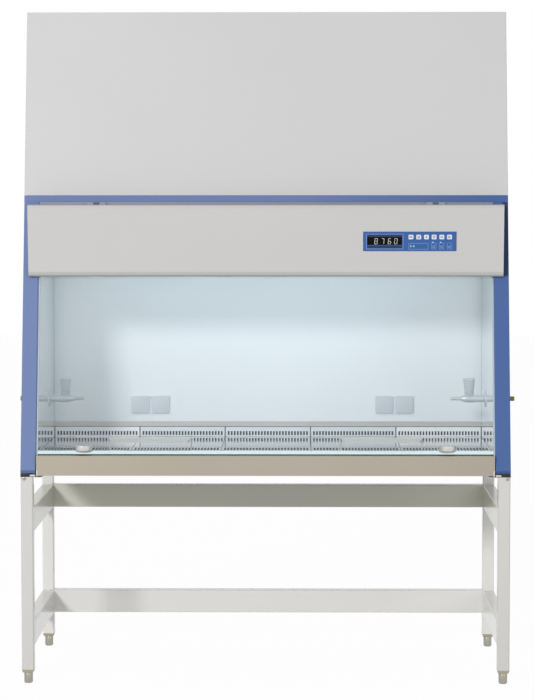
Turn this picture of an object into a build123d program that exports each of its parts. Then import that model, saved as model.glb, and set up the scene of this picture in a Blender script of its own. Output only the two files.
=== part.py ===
from build123d import *
import math
import os

# Biosafety cabinet on its stand, in millimetres.  X runs to the right, Y to the back, Z up.
# The origin is on the floor, under the middle of the whole object.
# "Depth" is measured backwards from the foot of the front posts, "height" from the floor.

# ---------------------------------------------------------------- driving dimensions
cabinet_width = 1600.0
cabinet_depth = 733.0          # post foot to rear panel
cabinet_height = 1529.0        # above the stand
stand_height = 680.0
front_slope = 11.0             # degrees that the front leans back
sheet = 2.0                    # painted steel sheet
steel = 1.5                    # stainless sheet
contact_gap = 0.3              # between pieces that only lie close together
overrun = 1.0                  # cutting shapes run past the faces that they cut
run_gap = 0.06                 # radial, shaft in its bore
pin_sides = 8                  # small bores are many-sided
bar_sides = 12                 # so are stems, knuckles and pipes
wheel_sides = 24               # and wheels and flanges

chamber_inset = 50.0           # cabinet side to the chamber's side
rear_duct = 91.0               # chamber's back wall to the rear panel
base_height = 71.0             # stand to worktop
opening_height = 581.0         # worktop to the lower edge of the fascia
ceiling_rise = 73.0            # lower edge of the fascia to the chamber's ceiling
fascia_height = 236.5
shadow_gap = 7.8               # between fascia and hood trim
trim_height = 22.4

# stand
leg_size = 40.0
leg_wall = 2.5
leg_corner = 5.0
leg_inset = 1.0                # legs stand this far inside the cabinet's sides and front
leg_bottom = 46.0
rear_leg_setback = 69.0        # rear panel to the front face of the rear legs
rail_height = 80.0
rail_corner = 2.0
rail_lower_height = 122.5
rail_upper_drop = 182.0        # from the cabinet down to the upper rails
plug_height = 10.0
plug_taper = 3.0
plug_insert = 30.0
foot_radius = 14.5
foot_chamfer = 3.0
stem_radius = 8.0
stem_clearance = 4.0

# posts, sill and base
post_width = 50.0
post_bend = 50.0               # depth of the post's side cheeks
post_face_drop = 14.0          # the post's face ends this far above the stand
fold_radius = 3.0
sill_front = 2.0
sill_back = 50.0
sill_bottom_gap = 6.0
sill_return = 30.0
sill_end_gap = 2.0
seal_width = 10.0
seal_height = 3.0
pan_ledge = 20.0
tray_fold = 12.0
side_flange = 70.0

# side windows
glass = 6.0
window_front_margin = 75.0
window_back_margin = 42.0
window_rise = 24.0             # above the worktop
window_top_margin = 2.0        # below the lower edge of the fascia

# trays
tray_count = 5
tray_gap = 1.0
upstand_height = 34.0
slot_count = 27
slot_pitch = 10.6
slot_width = 6.0
rear_slot_height = 14.0
rear_slot_lift = 5.0           # above the worktop
front_slot_start = 188.0
front_slot_length = 73.0

# chamber back
air_guide_rise = 36.0          # above the worktop
air_guide_height = 17.4
air_guide_return = 28.0
air_guide_tab = 20.0

# sash
sash_recess = 12.0             # glass face behind the post face, square to the slope
sash_glass_edge = 2.7          # glass edge to the post
sash_top_gap = 5.0             # glass edge below the ceiling
handle_radius = 28.5
handle_height = 18.0
handle_rise = 15.0             # above the worktop
handle_lead = 6.0              # handle axis in front of the glass
handle_round = 3.0
handle_offset_inset = 205.0    # handle axis from the cabinet's side
guide_front = 8.0
guide_back = 22.0
guide_width = 4.7
guide_drop = 160.0             # from the pulley shaft down to the guide's end
guide_clearance = 0.7

# sash counterbalance
cable_radius = 1.5
cable_end_gap = 1.0            # cable's end above the glass
cable_inset = 67.0             # cable from the cabinet's side
pulley_cable_radius = 28.0
pulley_rim = 32.0
pulley_width = 12.0
pulley_drop = 89.0             # from the cabinet's top down to the shaft
shaft_radius = 8.0
bearing_plate = 4.7
bearing_margin = 28.0          # plate around the shaft
bearing_overlap = 50.0         # plate along the guide
weight_width = 60.0
weight_depth = 104.0
weight_height = 150.0
weight_drop = 48.0             # from the shaft down to the weights

# fascia and its hinges
fascia_inset = 19.5
fascia_top_reach = 88.2        # in front of the posts
fascia_bottom_reach = 18.7
fascia_round_top = 5.0
fascia_round_bottom = 8.0
fascia_lip = 20.0
fascia_post_gap = 1.5
hinge_inset = 240.0
hinge_setback = 6.0            # knuckle's back to the post's plane
hinge_knuckles = 3
hinge_pin_radius = 1.5
knuckle_radius = 3.7
knuckle_length = 20.0
front_flange = 7.0             # flanges in front of the sash's path

# display panel and keys
panel_inset = 327.5            # panel's middle from the cabinet's right side
panel_rise = 116.0             # panel's middle above the lower edge of the fascia
panel_width = 305.6
panel_height = 64.0
panel_proud = 1.0
panel_rim = 4.0
panel_corner = 2.5
window_offset = -82.6          # from the panel's centre
window_lift = 1.4
window_width = 114.0
window_height = 26.0
key_count = 6
key_pitch = 25.2
key_first = 3.8                # first key's centre from the panel's centre
key_lift = 14.6
key_width = 16.0
key_depth_along = 15.0
key_corner = 1.5
key_thickness = 2.2
key_proud = 0.6
key_gap = 0.25
key_pocket = 2.6

# lamp
lamp_radius = 8.0
lamp_length = 1149.0
lamp_rise = 114.0              # above the lower edge of the fascia
lamp_setback = 20.0            # front tube's axis in front of the posts' plane
lamp_spacing = 18.0
reflector_wall = 1.0
reflector_rise = 22.0
reflector_flare = 2.0          # lower edges, out from the tubes
reflector_rake = 4.0           # upper corners, in from the tubes
lamp_holder = 10.0

# air system
diffuser_slots = 12
diffuser_slot_width = 10.0
diffuser_margin = 30.0
diffuser_front_gap = 5.0       # behind the sash guides
diffuser_bar = 20.0            # plain bar between the two rows of slots
filter_height = 78.0
filter_recess = 6.0            # pack inside its frame
filter_setback = 74.0          # behind the front plane at the ceiling
plenum_inset = 105.0
plenum_drop = 219.0            # from the cabinet's top
plenum_top_setback = 45.0      # behind the front plane at the plenum's top
air_box_gap = 2.0              # in front of the back wall's plane
exhaust_middle = 350.0
exhaust_length = 600.0
exhaust_depth = 220.0
exhaust_setback = 22.0         # in front of the back wall's plane
exhaust_lip = 10.0
exhaust_recess = 25.0
grille_slots = 14
grille_slot_width = 8.0
fan_offset = -330.0
fan_setback = 162.0            # in front of the back wall's plane
fan_radius = 140.0
fan_inlet_radius = 95.0
fan_blade_height = 80.0
fan_blades = 7
fan_blade_lean = 40.0          # degrees from the radius
fan_plate = 3.0
fan_top_gap = 12.0
motor_radius = 55.0
motor_height = 60.0
motor_shaft_radius = 9.0
fan_hub_radius = 22.0
beam_width = 120.0
beam_height = 40.0

# gas taps
tap_setback = 182.0            # in front of the back wall
tap_rise = 149.5               # above the worktop
tap_flange_radius = 28.5
tap_flange = 3.0
tap_tube_radius = 11.5
tap_bulge_radius = 13.5
tap_collar = 1.0               # bonnet plate on the valve block
tap_knob_reach = 56.0          # knob axis from the side pane
tap_neck_reach = 87.0
tap_nozzle_reach = 119.0
tap_nozzle_radius = 5.0
tap_barb = 1.3
tap_barbs = 3
tap_cone = 12.0
tap_tail_radius = 8.0
tap_tail_reach = 49.0          # outside the side panel
tap_tail_length = 48.0
tap_pipe_radius = 7.0
tap_neck_radius = 13.0
tap_neck_height = 24.0
knob_radius = 21.5
knob_foot_radius = 17.0
knob_height = 46.0
knob_round = 3.0
knob_sides = 16
tap_spindle_radius = 4.0
tap_spindle_length = 30.0

# sockets
socket_left = -411.9           # middle of the left pair
socket_right = 444.3
socket_flap_width = 62.8
socket_flap_height = 61.4
socket_flap_gap = 7.4
socket_rise = 82.4             # above the worktop
socket_flap = 5.0              # thickness
socket_corner = 6.0
socket_plate = 2.0
socket_plate_margin = 1.5
socket_box_depth = 32.0
socket_well = 40.0
socket_well_depth = 16.0
flap_pin_radius = 1.5
flap_ear = 2.2

# armrests
armrest_offset = 382.0
armrest_rear_width = 275.0
armrest_front_width = 241.0
armrest_front = 56.0
armrest_back = 140.0
armrest_front_rise = 38.6      # above the worktop
armrest_back_rise = 46.2
wire_radius = 2.0
wire_bend = 8.0
wire_behind = 3.0
runner_radius = 1.7
wire_sides = 8
runner_setback = 10.0

# ---------------------------------------------------------------- values that follow
slope = math.tan(math.radians(front_slope))
slope_cos = math.cos(math.radians(front_slope))
slope_sin = math.sin(math.radians(front_slope))
half_width = cabinet_width / 2
cabinet_top = stand_height + cabinet_height
work_width = cabinet_width - 2 * chamber_inset
work_depth = cabinet_depth - rear_duct
worktop_height = stand_height + base_height
fascia_low = worktop_height + opening_height
fascia_high = fascia_low + fascia_height
fascia_half_width = half_width - fascia_inset
chamber_top = fascia_low + ceiling_rise
rear_leg_depth = cabinet_depth - rear_leg_setback
rail_upper_height = stand_height - rail_upper_drop
window_back_depth = work_depth - window_back_margin
window_low = worktop_height + window_rise
window_high = fascia_low - window_top_margin
air_guide_low = worktop_height + air_guide_rise
air_guide_high = air_guide_low + air_guide_height
trim_low = fascia_high + shadow_gap
hood_low = trim_low + trim_height + contact_gap
tray_pitch = work_width / tray_count
tray_front = sill_back + 1.0
tray_back = work_depth - 1.0
pan_top = worktop_height - steel - tray_fold
sash_low = worktop_height + seal_height + contact_gap
sash_top = chamber_top - sash_top_gap
handle_low = worktop_height + handle_rise
handle_offset = half_width - handle_offset_inset
cable_offset = half_width - cable_inset
pulley_height = cabinet_top - pulley_drop
weight_top = pulley_height - weight_drop
guide_top = pulley_height - guide_drop
hinge_offset = half_width - hinge_inset
panel_centre = half_width - panel_inset
panel_centre_height = fascia_low + panel_rise
lamp_height = fascia_low + lamp_rise
plenum_half_width = half_width - plenum_inset
plenum_top = cabinet_top - plenum_drop
air_box_back = work_depth - air_box_gap
exhaust_low_x = exhaust_middle - exhaust_length / 2
exhaust_high_x = exhaust_middle + exhaust_length / 2
exhaust_back = work_depth - exhaust_setback
exhaust_front = exhaust_back - exhaust_depth
fan_depth = work_depth - fan_setback
tap_depth = work_depth - tap_setback
tap_height = worktop_height + tap_rise
tap_knob_offset = work_width / 2 - tap_knob_reach
tap_neck_end = work_width / 2 - tap_neck_reach
tap_nozzle_end = work_width / 2 - tap_nozzle_reach
socket_centres = (socket_left, socket_right)
socket_low = worktop_height + socket_rise
armrest_front_height = worktop_height + armrest_front_rise
armrest_back_height = worktop_height + armrest_back_rise


def front_at(height):
    """Depth of the sloping front plane at a height."""
    return (height - stand_height) * slope


def glass_at(height):
    """Depth of the sash glass's front face at a height."""
    return front_at(height) + sash_recess / slope_cos


filter_front = front_at(chamber_top) + filter_setback
plenum_top_front = front_at(plenum_top) + plenum_top_setback
fascia_top_depth = front_at(fascia_high) - fascia_top_reach
fascia_bottom_depth = front_at(fascia_low) - fascia_bottom_reach
lamp_front_depth = front_at(lamp_height) - lamp_setback
sash_back = glass / slope_cos
handle_middle = handle_low + handle_height / 2
handle_axis = glass_at(handle_middle) - handle_lead
handle_front = handle_axis - handle_radius
foot_y = -(cabinet_depth + min(handle_front, leg_inset)) / 2


# ---------------------------------------------------------------- helpers
def block(x_low, x_high, front, back, low, high):
    """Box between two X values, two depths and two heights."""
    centre = Pos((x_low + x_high) / 2, foot_y + (front + back) / 2, (low + high) / 2)
    return centre * Box(x_high - x_low, back - front, high - low)


def side_prism(outline, x_low, x_high):
    """Solid with a side outline of (depth, height) points, from x_low to x_high."""
    points = [(foot_y + depth, height) for depth, height in outline]
    face = Plane.YZ.offset(x_low) * make_face(Polyline(*points, close=True))
    return extrude(face, amount=x_high - x_low, dir=(1, 0, 0))


def sloping_strip(x_low, x_high, front, back, low, high):
    """Slab that follows the sloping front, from `front` to `back` behind its plane."""
    outline = [
        (front_at(low) + front, low),
        (front_at(low) + back, low),
        (front_at(high) + back, high),
        (front_at(high) + front, high),
    ]
    return side_prism(outline, x_low, x_high)


def other_side(shape):
    return mirror(shape, about=Plane.YZ)


def bar(radius, length, sides=0):
    """Round bar along Z about the origin, or a many-sided one."""
    if sides == 0:
        return Cylinder(radius, length)
    return Pos(0, 0, -length / 2) * extrude(RegularPolygon(radius, sides), length)


def bore_radius(radius, sides):
    """Corner radius of a many-sided bore in which a bar of a given radius can turn."""
    return (radius + run_gap) / math.cos(math.pi / sides)


def upright(x, depth, low, high, radius, sides=0):
    """Upright bar between two heights."""
    return Pos(x, foot_y + depth, (low + high) / 2) * bar(radius, high - low, sides)


def crosswise(x_low, x_high, depth, height, radius, sides=0):
    """Bar along X."""
    centre = Pos((x_low + x_high) / 2, foot_y + depth, height)
    return centre * Rot(0, 90, 0) * bar(radius, x_high - x_low, sides)


def faceted(rings, sides):
    """Many-sided turned solid along Z, with flat faces, through rings of (height, radius)."""
    turns = [2 * math.pi * number / sides for number in range(sides)]
    corners = [
        [(radius * math.cos(turn), radius * math.sin(turn), height) for turn in turns]
        for height, radius in rings
    ]
    outlines = [corners[0], corners[-1]]
    for lower, upper in zip(corners, corners[1:]):
        for this in range(sides):
            following = (this + 1) % sides
            outlines.append((lower[this], lower[following], upper[following], upper[this]))
    faces = [make_face(Polyline(*outline, close=True)).face() for outline in outlines]
    return Solid(Shell(faces))


def long_edges(shape, axis, length):
    """Edges of a shape along an axis that are as long as the whole piece."""
    return [e for e in shape.edges().filter_by(axis) if abs(e.length - length) < 0.01]


# ---------------------------------------------------------------- stand
leg_outer = half_width - leg_inset
leg_inner = leg_outer - leg_size
leg_fronts = (leg_inset, rear_leg_depth)
rail_lows = (rail_lower_height, rail_upper_height)


def tube(x_low, x_high, front, back, low, high, axis, length, corner):
    """Square or oblong steel tube with eased outer corners, open at both ends."""
    outer = block(x_low, x_high, front, back, low, high)
    edges = long_edges(outer, axis, length)
    outer = fillet(edges, corner) if axis == Axis.Z else chamfer(edges, corner)
    ends = {Axis.X: (0, 1, 1), Axis.Y: (1, 0, 1), Axis.Z: (1, 1, 0)}[axis]
    wall_x, wall_y, wall_z = (leg_wall * side for side in ends)
    inner = block(
        x_low + wall_x, x_high - wall_x, front + wall_y, back - wall_y, low + wall_z, high - wall_z
    )
    return outer - inner


def stand_legs():
    length = stand_height - leg_bottom
    legs = []
    for front in leg_fronts:
        back = front + leg_size
        leg = tube(leg_inner, leg_outer, front, back, leg_bottom, stand_height, Axis.Z, length, leg_corner)
        legs += [other_side(leg), leg]
    return legs


def stand_side_rails():
    front = leg_fronts[0] + leg_size
    back = leg_fronts[1]
    rails = []
    for low in rail_lows:
        high = low + rail_height
        rail = tube(leg_inner, leg_outer, front, back, low, high, Axis.Y, back - front, rail_corner)
        rails += [other_side(rail), rail]
    return rails


def stand_rear_rails():
    front = leg_fronts[1]
    back = front + leg_size
    length = 2 * leg_inner
    return [
        tube(-leg_inner, leg_inner, front, back, low, low + rail_height, Axis.X, length, rail_corner)
        for low in rail_lows
    ]


def leg_centres():
    x = (leg_inner + leg_outer) / 2
    return [(side * x, front + leg_size / 2) for front in leg_fronts for side in (-1, 1)]


plug_low = leg_bottom - plug_height


def leg_plug(x, depth):
    """Tapered plastic end of a leg, with an insert in the tube and a bore for the foot."""
    section = Plane.XY.offset(leg_bottom) * Rectangle(leg_size, leg_size)
    foot = Plane.XY.offset(plug_low) * Rectangle(leg_size - 2 * plug_taper, leg_size - 2 * plug_taper)
    body = loft([foot, section])
    insert_size = leg_size - 2 * leg_wall - 2 * contact_gap
    insert = Pos(0, 0, leg_bottom + plug_insert / 2) * Box(insert_size, insert_size, plug_insert)
    bore_length = plug_height + plug_insert
    bore = Pos(0, 0, plug_low + bore_length / 2) * bar(stem_radius + run_gap, bore_length, bar_sides)
    return Pos(x, foot_y + depth, 0) * (body + insert - bore)


def levelling_foot(x, depth):
    """Steel foot with a chamfered base and the stem that screws into its plug."""
    top = plug_low - contact_gap
    pad = Pos(0, 0, top / 2) * bar(foot_radius, top, bar_sides)
    pad = chamfer(pad.edges().group_by(Axis.Z)[0], foot_chamfer)
    stem_top = leg_bottom + plug_insert - stem_clearance
    stem = Pos(0, 0, (top + stem_top) / 2) * bar(stem_radius, stem_top - top, bar_sides)
    return Pos(x, foot_y + depth, 0) * (pad + stem)


# ---------------------------------------------------------------- outer body
def front_folds(shape, low, high):
    """Long outer edges where a sheet on the sloping front folds back to the side."""
    return shape.edges().filter_by(
        lambda e: e.length > (high - low) * 0.9
        and abs(e.center().X) > post_width
        and abs(e.center().Y - foot_y - front_at(e.center().Z)) < 0.1
    )


def front_post():
    """Right front post: a folded channel whose outer cheek runs down to the stand."""
    face_low = stand_height + post_face_drop
    top = trim_low - contact_gap
    inner = half_width - post_width
    face = sloping_strip(inner, half_width, 0, sheet, face_low, top)
    outer_cheek = sloping_strip(half_width - sheet, half_width, 0, post_bend, stand_height + overrun, top)
    inner_cheek = sloping_strip(inner, inner + sheet, 0, post_bend, face_low, top)
    post = face + outer_cheek + inner_cheek
    return fillet(front_folds(post, face_low, top), fold_radius)


def side_panel():
    """Right side panel: folded sheet with a window opening, its reveal and its flanges."""
    high = cabinet_top - sheet
    back = cabinet_depth
    front_edge = post_bend + contact_gap
    inner_face = half_width - sheet
    skin = side_prism(
        [
            (front_at(stand_height) + front_edge, stand_height),
            (back, stand_height),
            (back, high),
            (front_at(high) + front_edge, high),
        ],
        inner_face,
        half_width,
    )
    low_front = front_at(window_low) + window_front_margin
    high_front = front_at(window_high) + window_front_margin
    opening = [
        (low_front, window_low),
        (window_back_depth, window_low),
        (window_back_depth, window_high),
        (high_front, window_high),
    ]
    frame = [
        (low_front - sheet, window_low - sheet),
        (window_back_depth + sheet, window_low - sheet),
        (window_back_depth + sheet, window_high + sheet),
        (high_front - sheet, window_high + sheet),
    ]
    reveal_inner = work_width / 2 + glass
    skin += side_prism(frame, reveal_inner, inner_face)
    skin -= side_prism(opening, reveal_inner - overrun, half_width + overrun)
    foot = block(half_width - side_flange, inner_face, leg_inset, back, stand_height, stand_height + sheet)
    rear = block(
        half_width - side_flange / 2, inner_face, back - 2 * sheet, back - sheet, stand_height + sheet, high
    )
    top = block(
        half_width - side_flange / 2, inner_face,
        front_at(high) + front_edge, back - 2 * sheet, high - sheet, high,
    )
    tail_hole = crosswise(
        inner_face - overrun, half_width + overrun, tap_depth, tap_height, tap_pipe_radius + contact_gap
    )
    return skin + foot + rear + top - tail_hole


def side_window():
    """Right side pane of the chamber, with a hole for the gas tap's tail."""
    inner = work_width / 2
    low = pan_top
    pane = side_prism(
        [
            (front_at(low) + post_bend + contact_gap, low),
            (work_depth + sheet, low),
            (work_depth + sheet, chamber_top),
            (front_at(chamber_top) + post_bend + contact_gap, chamber_top),
        ],
        inner,
        inner + glass,
    )
    hole = crosswise(
        inner - overrun, inner + glass + overrun, tap_depth, tap_height, tap_pipe_radius + contact_gap
    )
    return pane - hole


def back_wall():
    """Inner back wall of the chamber, in flat sheets round the cut-out for each pair of sockets."""
    edge = work_width / 2 - contact_gap
    half = socket_pair_half - socket_plate_margin - sheet
    low = socket_low + sheet
    high = socket_low + socket_flap_height - sheet
    ends = [-edge, socket_left - half, socket_left + half, socket_right - half, socket_right + half, edge]
    sheets = [(-edge, edge, air_guide_high, low), (-edge, edge, high, chamber_top)]
    sheets += [(start, end, low, high) for start, end in zip(ends[::2], ends[1::2])]
    return [
        block(start, end, work_depth, work_depth + sheet, bottom, top)
        for start, end, bottom, top in sheets
    ]


def rear_air_guide():
    """Stainless strip under the back wall, folded back over the air slot and up behind the wall."""
    edge = work_width / 2 - contact_gap
    high = air_guide_high - contact_gap
    tab_high = air_guide_high + air_guide_tab
    behind = work_depth + sheet
    outline = [
        (work_depth, air_guide_low),
        (work_depth, high),
        (behind, high),
        (behind, tab_high),
        (behind + steel, tab_high),
        (behind + steel, high - steel),
        (work_depth + steel, high - steel),
        (work_depth + steel, air_guide_low + steel),
        (work_depth + air_guide_return, air_guide_low + steel),
        (work_depth + air_guide_return, air_guide_low),
    ]
    return side_prism(outline, -edge, edge)


def rear_panel():
    edge = half_width - sheet - contact_gap
    low = stand_height + sheet
    return block(-edge, edge, cabinet_depth - sheet, cabinet_depth, low, cabinet_top - sheet)


def top_cover():
    """Flat lid with exhaust slots over the exhaust filter."""
    front = front_at(cabinet_top) + post_bend + contact_gap
    lid = block(-half_width, half_width, front, cabinet_depth, cabinet_top - sheet, cabinet_top)
    first = exhaust_low_x + exhaust_lip + grille_slot_width
    last = exhaust_high_x - exhaust_lip - grille_slot_width
    pitch = (last - first) / (grille_slots - 1)
    for index in range(grille_slots):
        x = first + index * pitch
        lid -= block(
            x - grille_slot_width / 2,
            x + grille_slot_width / 2,
            exhaust_front + exhaust_lip,
            exhaust_back - exhaust_lip,
            cabinet_top - sheet - overrun,
            cabinet_top + overrun,
        )
    return lid


def hood_panel():
    """Large front cover over the air system: face, side returns, top and bottom flanges."""
    top = cabinet_top
    face = sloping_strip(-half_width, half_width, 0, sheet, hood_low, top)
    cheek = sloping_strip(half_width - sheet, half_width, 0, post_bend, hood_low, top)
    hood = fillet(front_folds(face + cheek + other_side(cheek), hood_low, top), fold_radius)
    for low, high, reach in (
        (top - sheet, top, post_bend),
        (hood_low, hood_low + sheet, front_flange),
    ):
        edge = half_width - fold_radius
        hood += block(-edge, edge, front_at(high) + sheet / 2, front_at(high) + reach, low, high)
    return hood


def hood_trim():
    """Strip between hood and fascia; its lower flange closes the gap and takes the hinges."""
    high = trim_low + trim_height
    face = sloping_strip(-half_width, half_width, 0, sheet, trim_low, high)
    cheek = sloping_strip(half_width - sheet, half_width, 0, post_bend, trim_low, high)
    start = front_at(trim_low)
    flange = block(-half_width, half_width, start, start + front_flange, trim_low, trim_low + sheet)
    return face + cheek + other_side(cheek) + flange


def front_sill():
    """Stainless apron with a flat top that carries the sash seal."""
    edge = half_width - post_width - sill_end_gap
    low = stand_height + sill_bottom_gap
    high = worktop_height
    outline = [
        (sill_front, low),
        (sill_front, high),
        (sill_back, high),
        (sill_back, pan_top),
        (sill_back - steel, pan_top),
        (sill_back - steel, high - steel),
        (sill_front + steel, high - steel),
        (sill_front + steel, low + steel),
        (sill_front + sill_return, low + steel),
        (sill_front + sill_return, low),
    ]
    return side_prism(outline, -edge, edge)


def sash_seal():
    """Rubber strip on the sill, under the sash's lower edge."""
    edge = half_width - post_width - guide_width - 2 * contact_gap
    middle = glass_at(sash_low) + sash_back / 2
    return block(
        -edge, edge, middle - seal_width / 2, middle + seal_width / 2,
        worktop_height, worktop_height + seal_height,
    )


def spill_pan():
    """Pan under the trays, with a ledge along its front and back for the trays to rest on."""
    edge = work_width / 2 - contact_gap
    front = sill_back + contact_gap
    back = work_depth - 1
    low = stand_height + sheet
    pan = block(-edge, edge, front, back, low, pan_top)
    pan -= block(
        -edge + steel, edge - steel, front + steel, back - steel, low + steel, pan_top + 1
    )
    for start, end in ((front, front + pan_ledge), (back - pan_ledge, back)):
        pan += block(-edge, edge, start, end, pan_top - steel, pan_top)
    return pan


# ---------------------------------------------------------------- trays and armrests
def tray(index):
    """One stainless work tray: folded edges, a slotted rear upstand and front intake slots."""
    low_x = -work_width / 2 + index * tray_pitch + tray_gap / 2
    high_x = low_x + tray_pitch - tray_gap
    centre = (low_x + high_x) / 2
    surface = worktop_height
    body = block(low_x, high_x, tray_front, tray_back, pan_top, surface)
    body -= block(
        low_x + steel, high_x - steel, tray_front + steel, tray_back - steel,
        pan_top - overrun, surface - steel,
    )
    body += block(low_x, high_x, tray_back - steel, tray_back, surface - steel, surface + upstand_height)
    slot_low = surface + rear_slot_lift
    for number in range(slot_count):
        x = centre + (number - (slot_count - 1) / 2) * slot_pitch
        left, right = x - slot_width / 2, x + slot_width / 2
        body -= block(
            left, right, tray_back - steel - overrun, tray_back + overrun,
            slot_low, slot_low + rear_slot_height,
        )
        body -= block(
            left, right, front_slot_start, front_slot_start + front_slot_length,
            surface - steel - overrun, surface + overrun,
        )
    return body


def armrest(centre):
    """Sloping tapered plate on a bent wire stand whose runners lie on the tray."""
    slant = math.atan2(armrest_back_height - armrest_front_height, armrest_back - armrest_front)
    rear, front = armrest_rear_width / 2, armrest_front_width / 2
    length = (armrest_back - armrest_front) / math.cos(slant)
    outline = [(-front, 0), (front, 0), (rear, length), (-rear, length)]
    edge = Plane(
        origin=(0, foot_y + armrest_front, armrest_front_height),
        x_dir=(1, 0, 0),
        z_dir=(0, -math.sin(slant), math.cos(slant)),
    )
    plate = edge * extrude(make_face(Polyline(*outline, close=True)), -steel)
    wire_depth = armrest_back + wire_behind
    wire_low = worktop_height + wire_radius
    wire_high = armrest_back_height - steel
    wire_x = rear - wire_radius
    loop = FilletPolyline(
        (-wire_x, wire_high), (-wire_x, wire_low), (wire_x, wire_low), (wire_x, wire_high),
        radius=wire_bend,
    )
    loop_plane = Plane(origin=(0, foot_y + wire_depth, 0), x_dir=(1, 0, 0), z_dir=(0, -1, 0))
    path = loop_plane * loop
    section = Plane(origin=path @ 0, z_dir=path % 0) * RegularPolygon(wire_radius, wire_sides)
    wire = sweep(section, path=path)
    clip = block(
        -rear, rear, armrest_back - 2 * steel, wire_depth + wire_radius / 2,
        wire_high - steel, armrest_back_height - steel / 2,
    )
    frame = plate + clip + wire
    runner_end = Plane(
        origin=(0, foot_y + wire_depth, worktop_height + runner_radius), x_dir=(1, 0, 0), z_dir=(0, -1, 0)
    )
    runner_length = wire_depth - armrest_front - runner_setback
    for x in (-front, front):
        profile = runner_end * Pos(x, 0) * Rot(0, 0, 180 / wire_sides)
        runner = RegularPolygon(runner_radius, wire_sides, major_radius=False)
        frame += extrude(profile * runner, runner_length)
    return Pos(centre, 0, 0) * frame


# ---------------------------------------------------------------- sash and its balance
def sash_glass():
    edge = half_width - post_width - sash_glass_edge
    recess = sash_recess / slope_cos
    return sloping_strip(-edge, edge, recess, recess + sash_back, sash_low, sash_top)


def sash_handle(x):
    """Round pull with a flat back on the glass."""
    high = handle_low + handle_height
    grip = upright(x, handle_axis, handle_low, high, handle_radius)
    rims = grip.edges().filter_by(GeomType.CIRCLE)
    grip = chamfer(rims, handle_round)
    behind = sloping_strip(
        x - 2 * handle_radius, x + 2 * handle_radius, sash_recess / slope_cos, 4 * handle_radius,
        handle_low - handle_height, high + handle_height,
    )
    return grip - behind


cable_line = sash_recess + glass / 2
shaft_depth_square = cable_line + pulley_cable_radius
shaft_run = (pulley_height - stand_height + shaft_depth_square * slope_sin) / slope_cos
shaft_depth = shaft_run * slope_sin + shaft_depth_square * slope_cos


def sash_guide():
    """Right guide: a channel for the glass edge, with the pulley shaft's bearing plate on top."""
    outer = half_width - post_width - contact_gap
    inner = outer - guide_width
    rail = sloping_strip(inner, outer, guide_front, guide_back, worktop_height, guide_top)
    groove_front = sash_recess / slope_cos - guide_clearance
    groove_back = groove_front + sash_back + 2 * guide_clearance
    glass_edge = half_width - post_width - sash_glass_edge + guide_clearance
    rail -= sloping_strip(
        inner - overrun, glass_edge, groove_front, groove_back,
        worktop_height - overrun, guide_top + overrun,
    )
    plate_low = guide_top - bearing_overlap
    plate_step = weight_top + bearing_margin / 2
    plate_high = pulley_height + bearing_margin
    plate = side_prism(
        [
            (front_at(plate_low) + guide_front, plate_low),
            (front_at(plate_low) + guide_back, plate_low),
            (front_at(plate_step) + guide_back, plate_step),
            (shaft_depth + bearing_margin, plate_step),
            (shaft_depth + bearing_margin, plate_high),
            (front_at(plate_high) + guide_front, plate_high),
        ],
        outer - bearing_plate,
        outer,
    )
    hole = crosswise(
        outer - bearing_plate - overrun, outer + overrun, shaft_depth, pulley_height, shaft_radius + run_gap
    )
    return rail + plate - hole


def pulley_shaft():
    """Cross shaft with a grooved pulley at each end, so both sides of the sash move together."""
    end = half_width - post_width - contact_gap
    shaft = crosswise(-end, end, shaft_depth, pulley_height, shaft_radius)
    groove = pulley_cable_radius - cable_radius
    half = pulley_width / 2
    rings = [(-half, pulley_rim), (-cable_radius, groove), (cable_radius, groove), (half, pulley_rim)]
    wheel = Rot(0, 90, 0) * faceted(rings, wheel_sides)
    for x in (-cable_offset, cable_offset):
        shaft += Pos(x, foot_y + shaft_depth, pulley_height) * wheel
    return shaft


def counterweight(x):
    depth = shaft_depth + pulley_cable_radius
    half_x, half_y = weight_width / 2, weight_depth / 2
    low = weight_top - weight_height
    return block(x - half_x, x + half_x, depth - half_y, depth + half_y, low, weight_top)


def sash_cable(x):
    """Steel cable from the glass up over the pulley and down to its counterweight."""
    start_run = (sash_top - stand_height + cable_line * slope_sin) / slope_cos + cable_end_gap
    start = (start_run * slope_sin + cable_line * slope_cos,
             stand_height + start_run * slope_cos - cable_line * slope_sin)
    tangent = (shaft_depth - pulley_cable_radius * slope_cos,
               pulley_height + pulley_cable_radius * slope_sin)
    crown = (shaft_depth, pulley_height + pulley_cable_radius)
    fall = (shaft_depth + pulley_cable_radius, pulley_height)
    end = (fall[0], weight_top)
    line = Line(start, tangent) + ThreePointArc(
        tangent, crown, fall) + Line(fall, end)
    plane = Plane(origin=(x, foot_y, 0), x_dir=(0, 1, 0), z_dir=(1, 0, 0))
    path = plane * line
    section = Plane(origin=path @ 0, z_dir=path % 0) * RegularPolygon(cable_radius, wire_sides)
    return sweep(section, path=path)


# ---------------------------------------------------------------- fascia
hinge_height = fascia_high + (shadow_gap / 2)
hinge_depth = front_at(fascia_high) - knuckle_radius - hinge_setback
fascia_lean = math.atan2(fascia_bottom_depth - fascia_top_depth, fascia_height)
face_plane = Plane(
    origin=(0, foot_y + (fascia_top_depth + fascia_bottom_depth) / 2, (fascia_low + fascia_high) / 2),
    x_dir=(1, 0, 0),
    z_dir=(0, -math.cos(fascia_lean), -math.sin(fascia_lean)),
)
panel_along = (panel_centre_height - (fascia_low + fascia_high) / 2) / math.cos(fascia_lean)


def on_face(x, along, out, shape):
    """Place a shape on the fascia: x, up its face, and its middle `out` of the face."""
    return face_plane * (Pos(x, panel_along + along, out) * shape)


def fascia_hinge_centres():
    return (-hinge_offset, hinge_offset)


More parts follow.
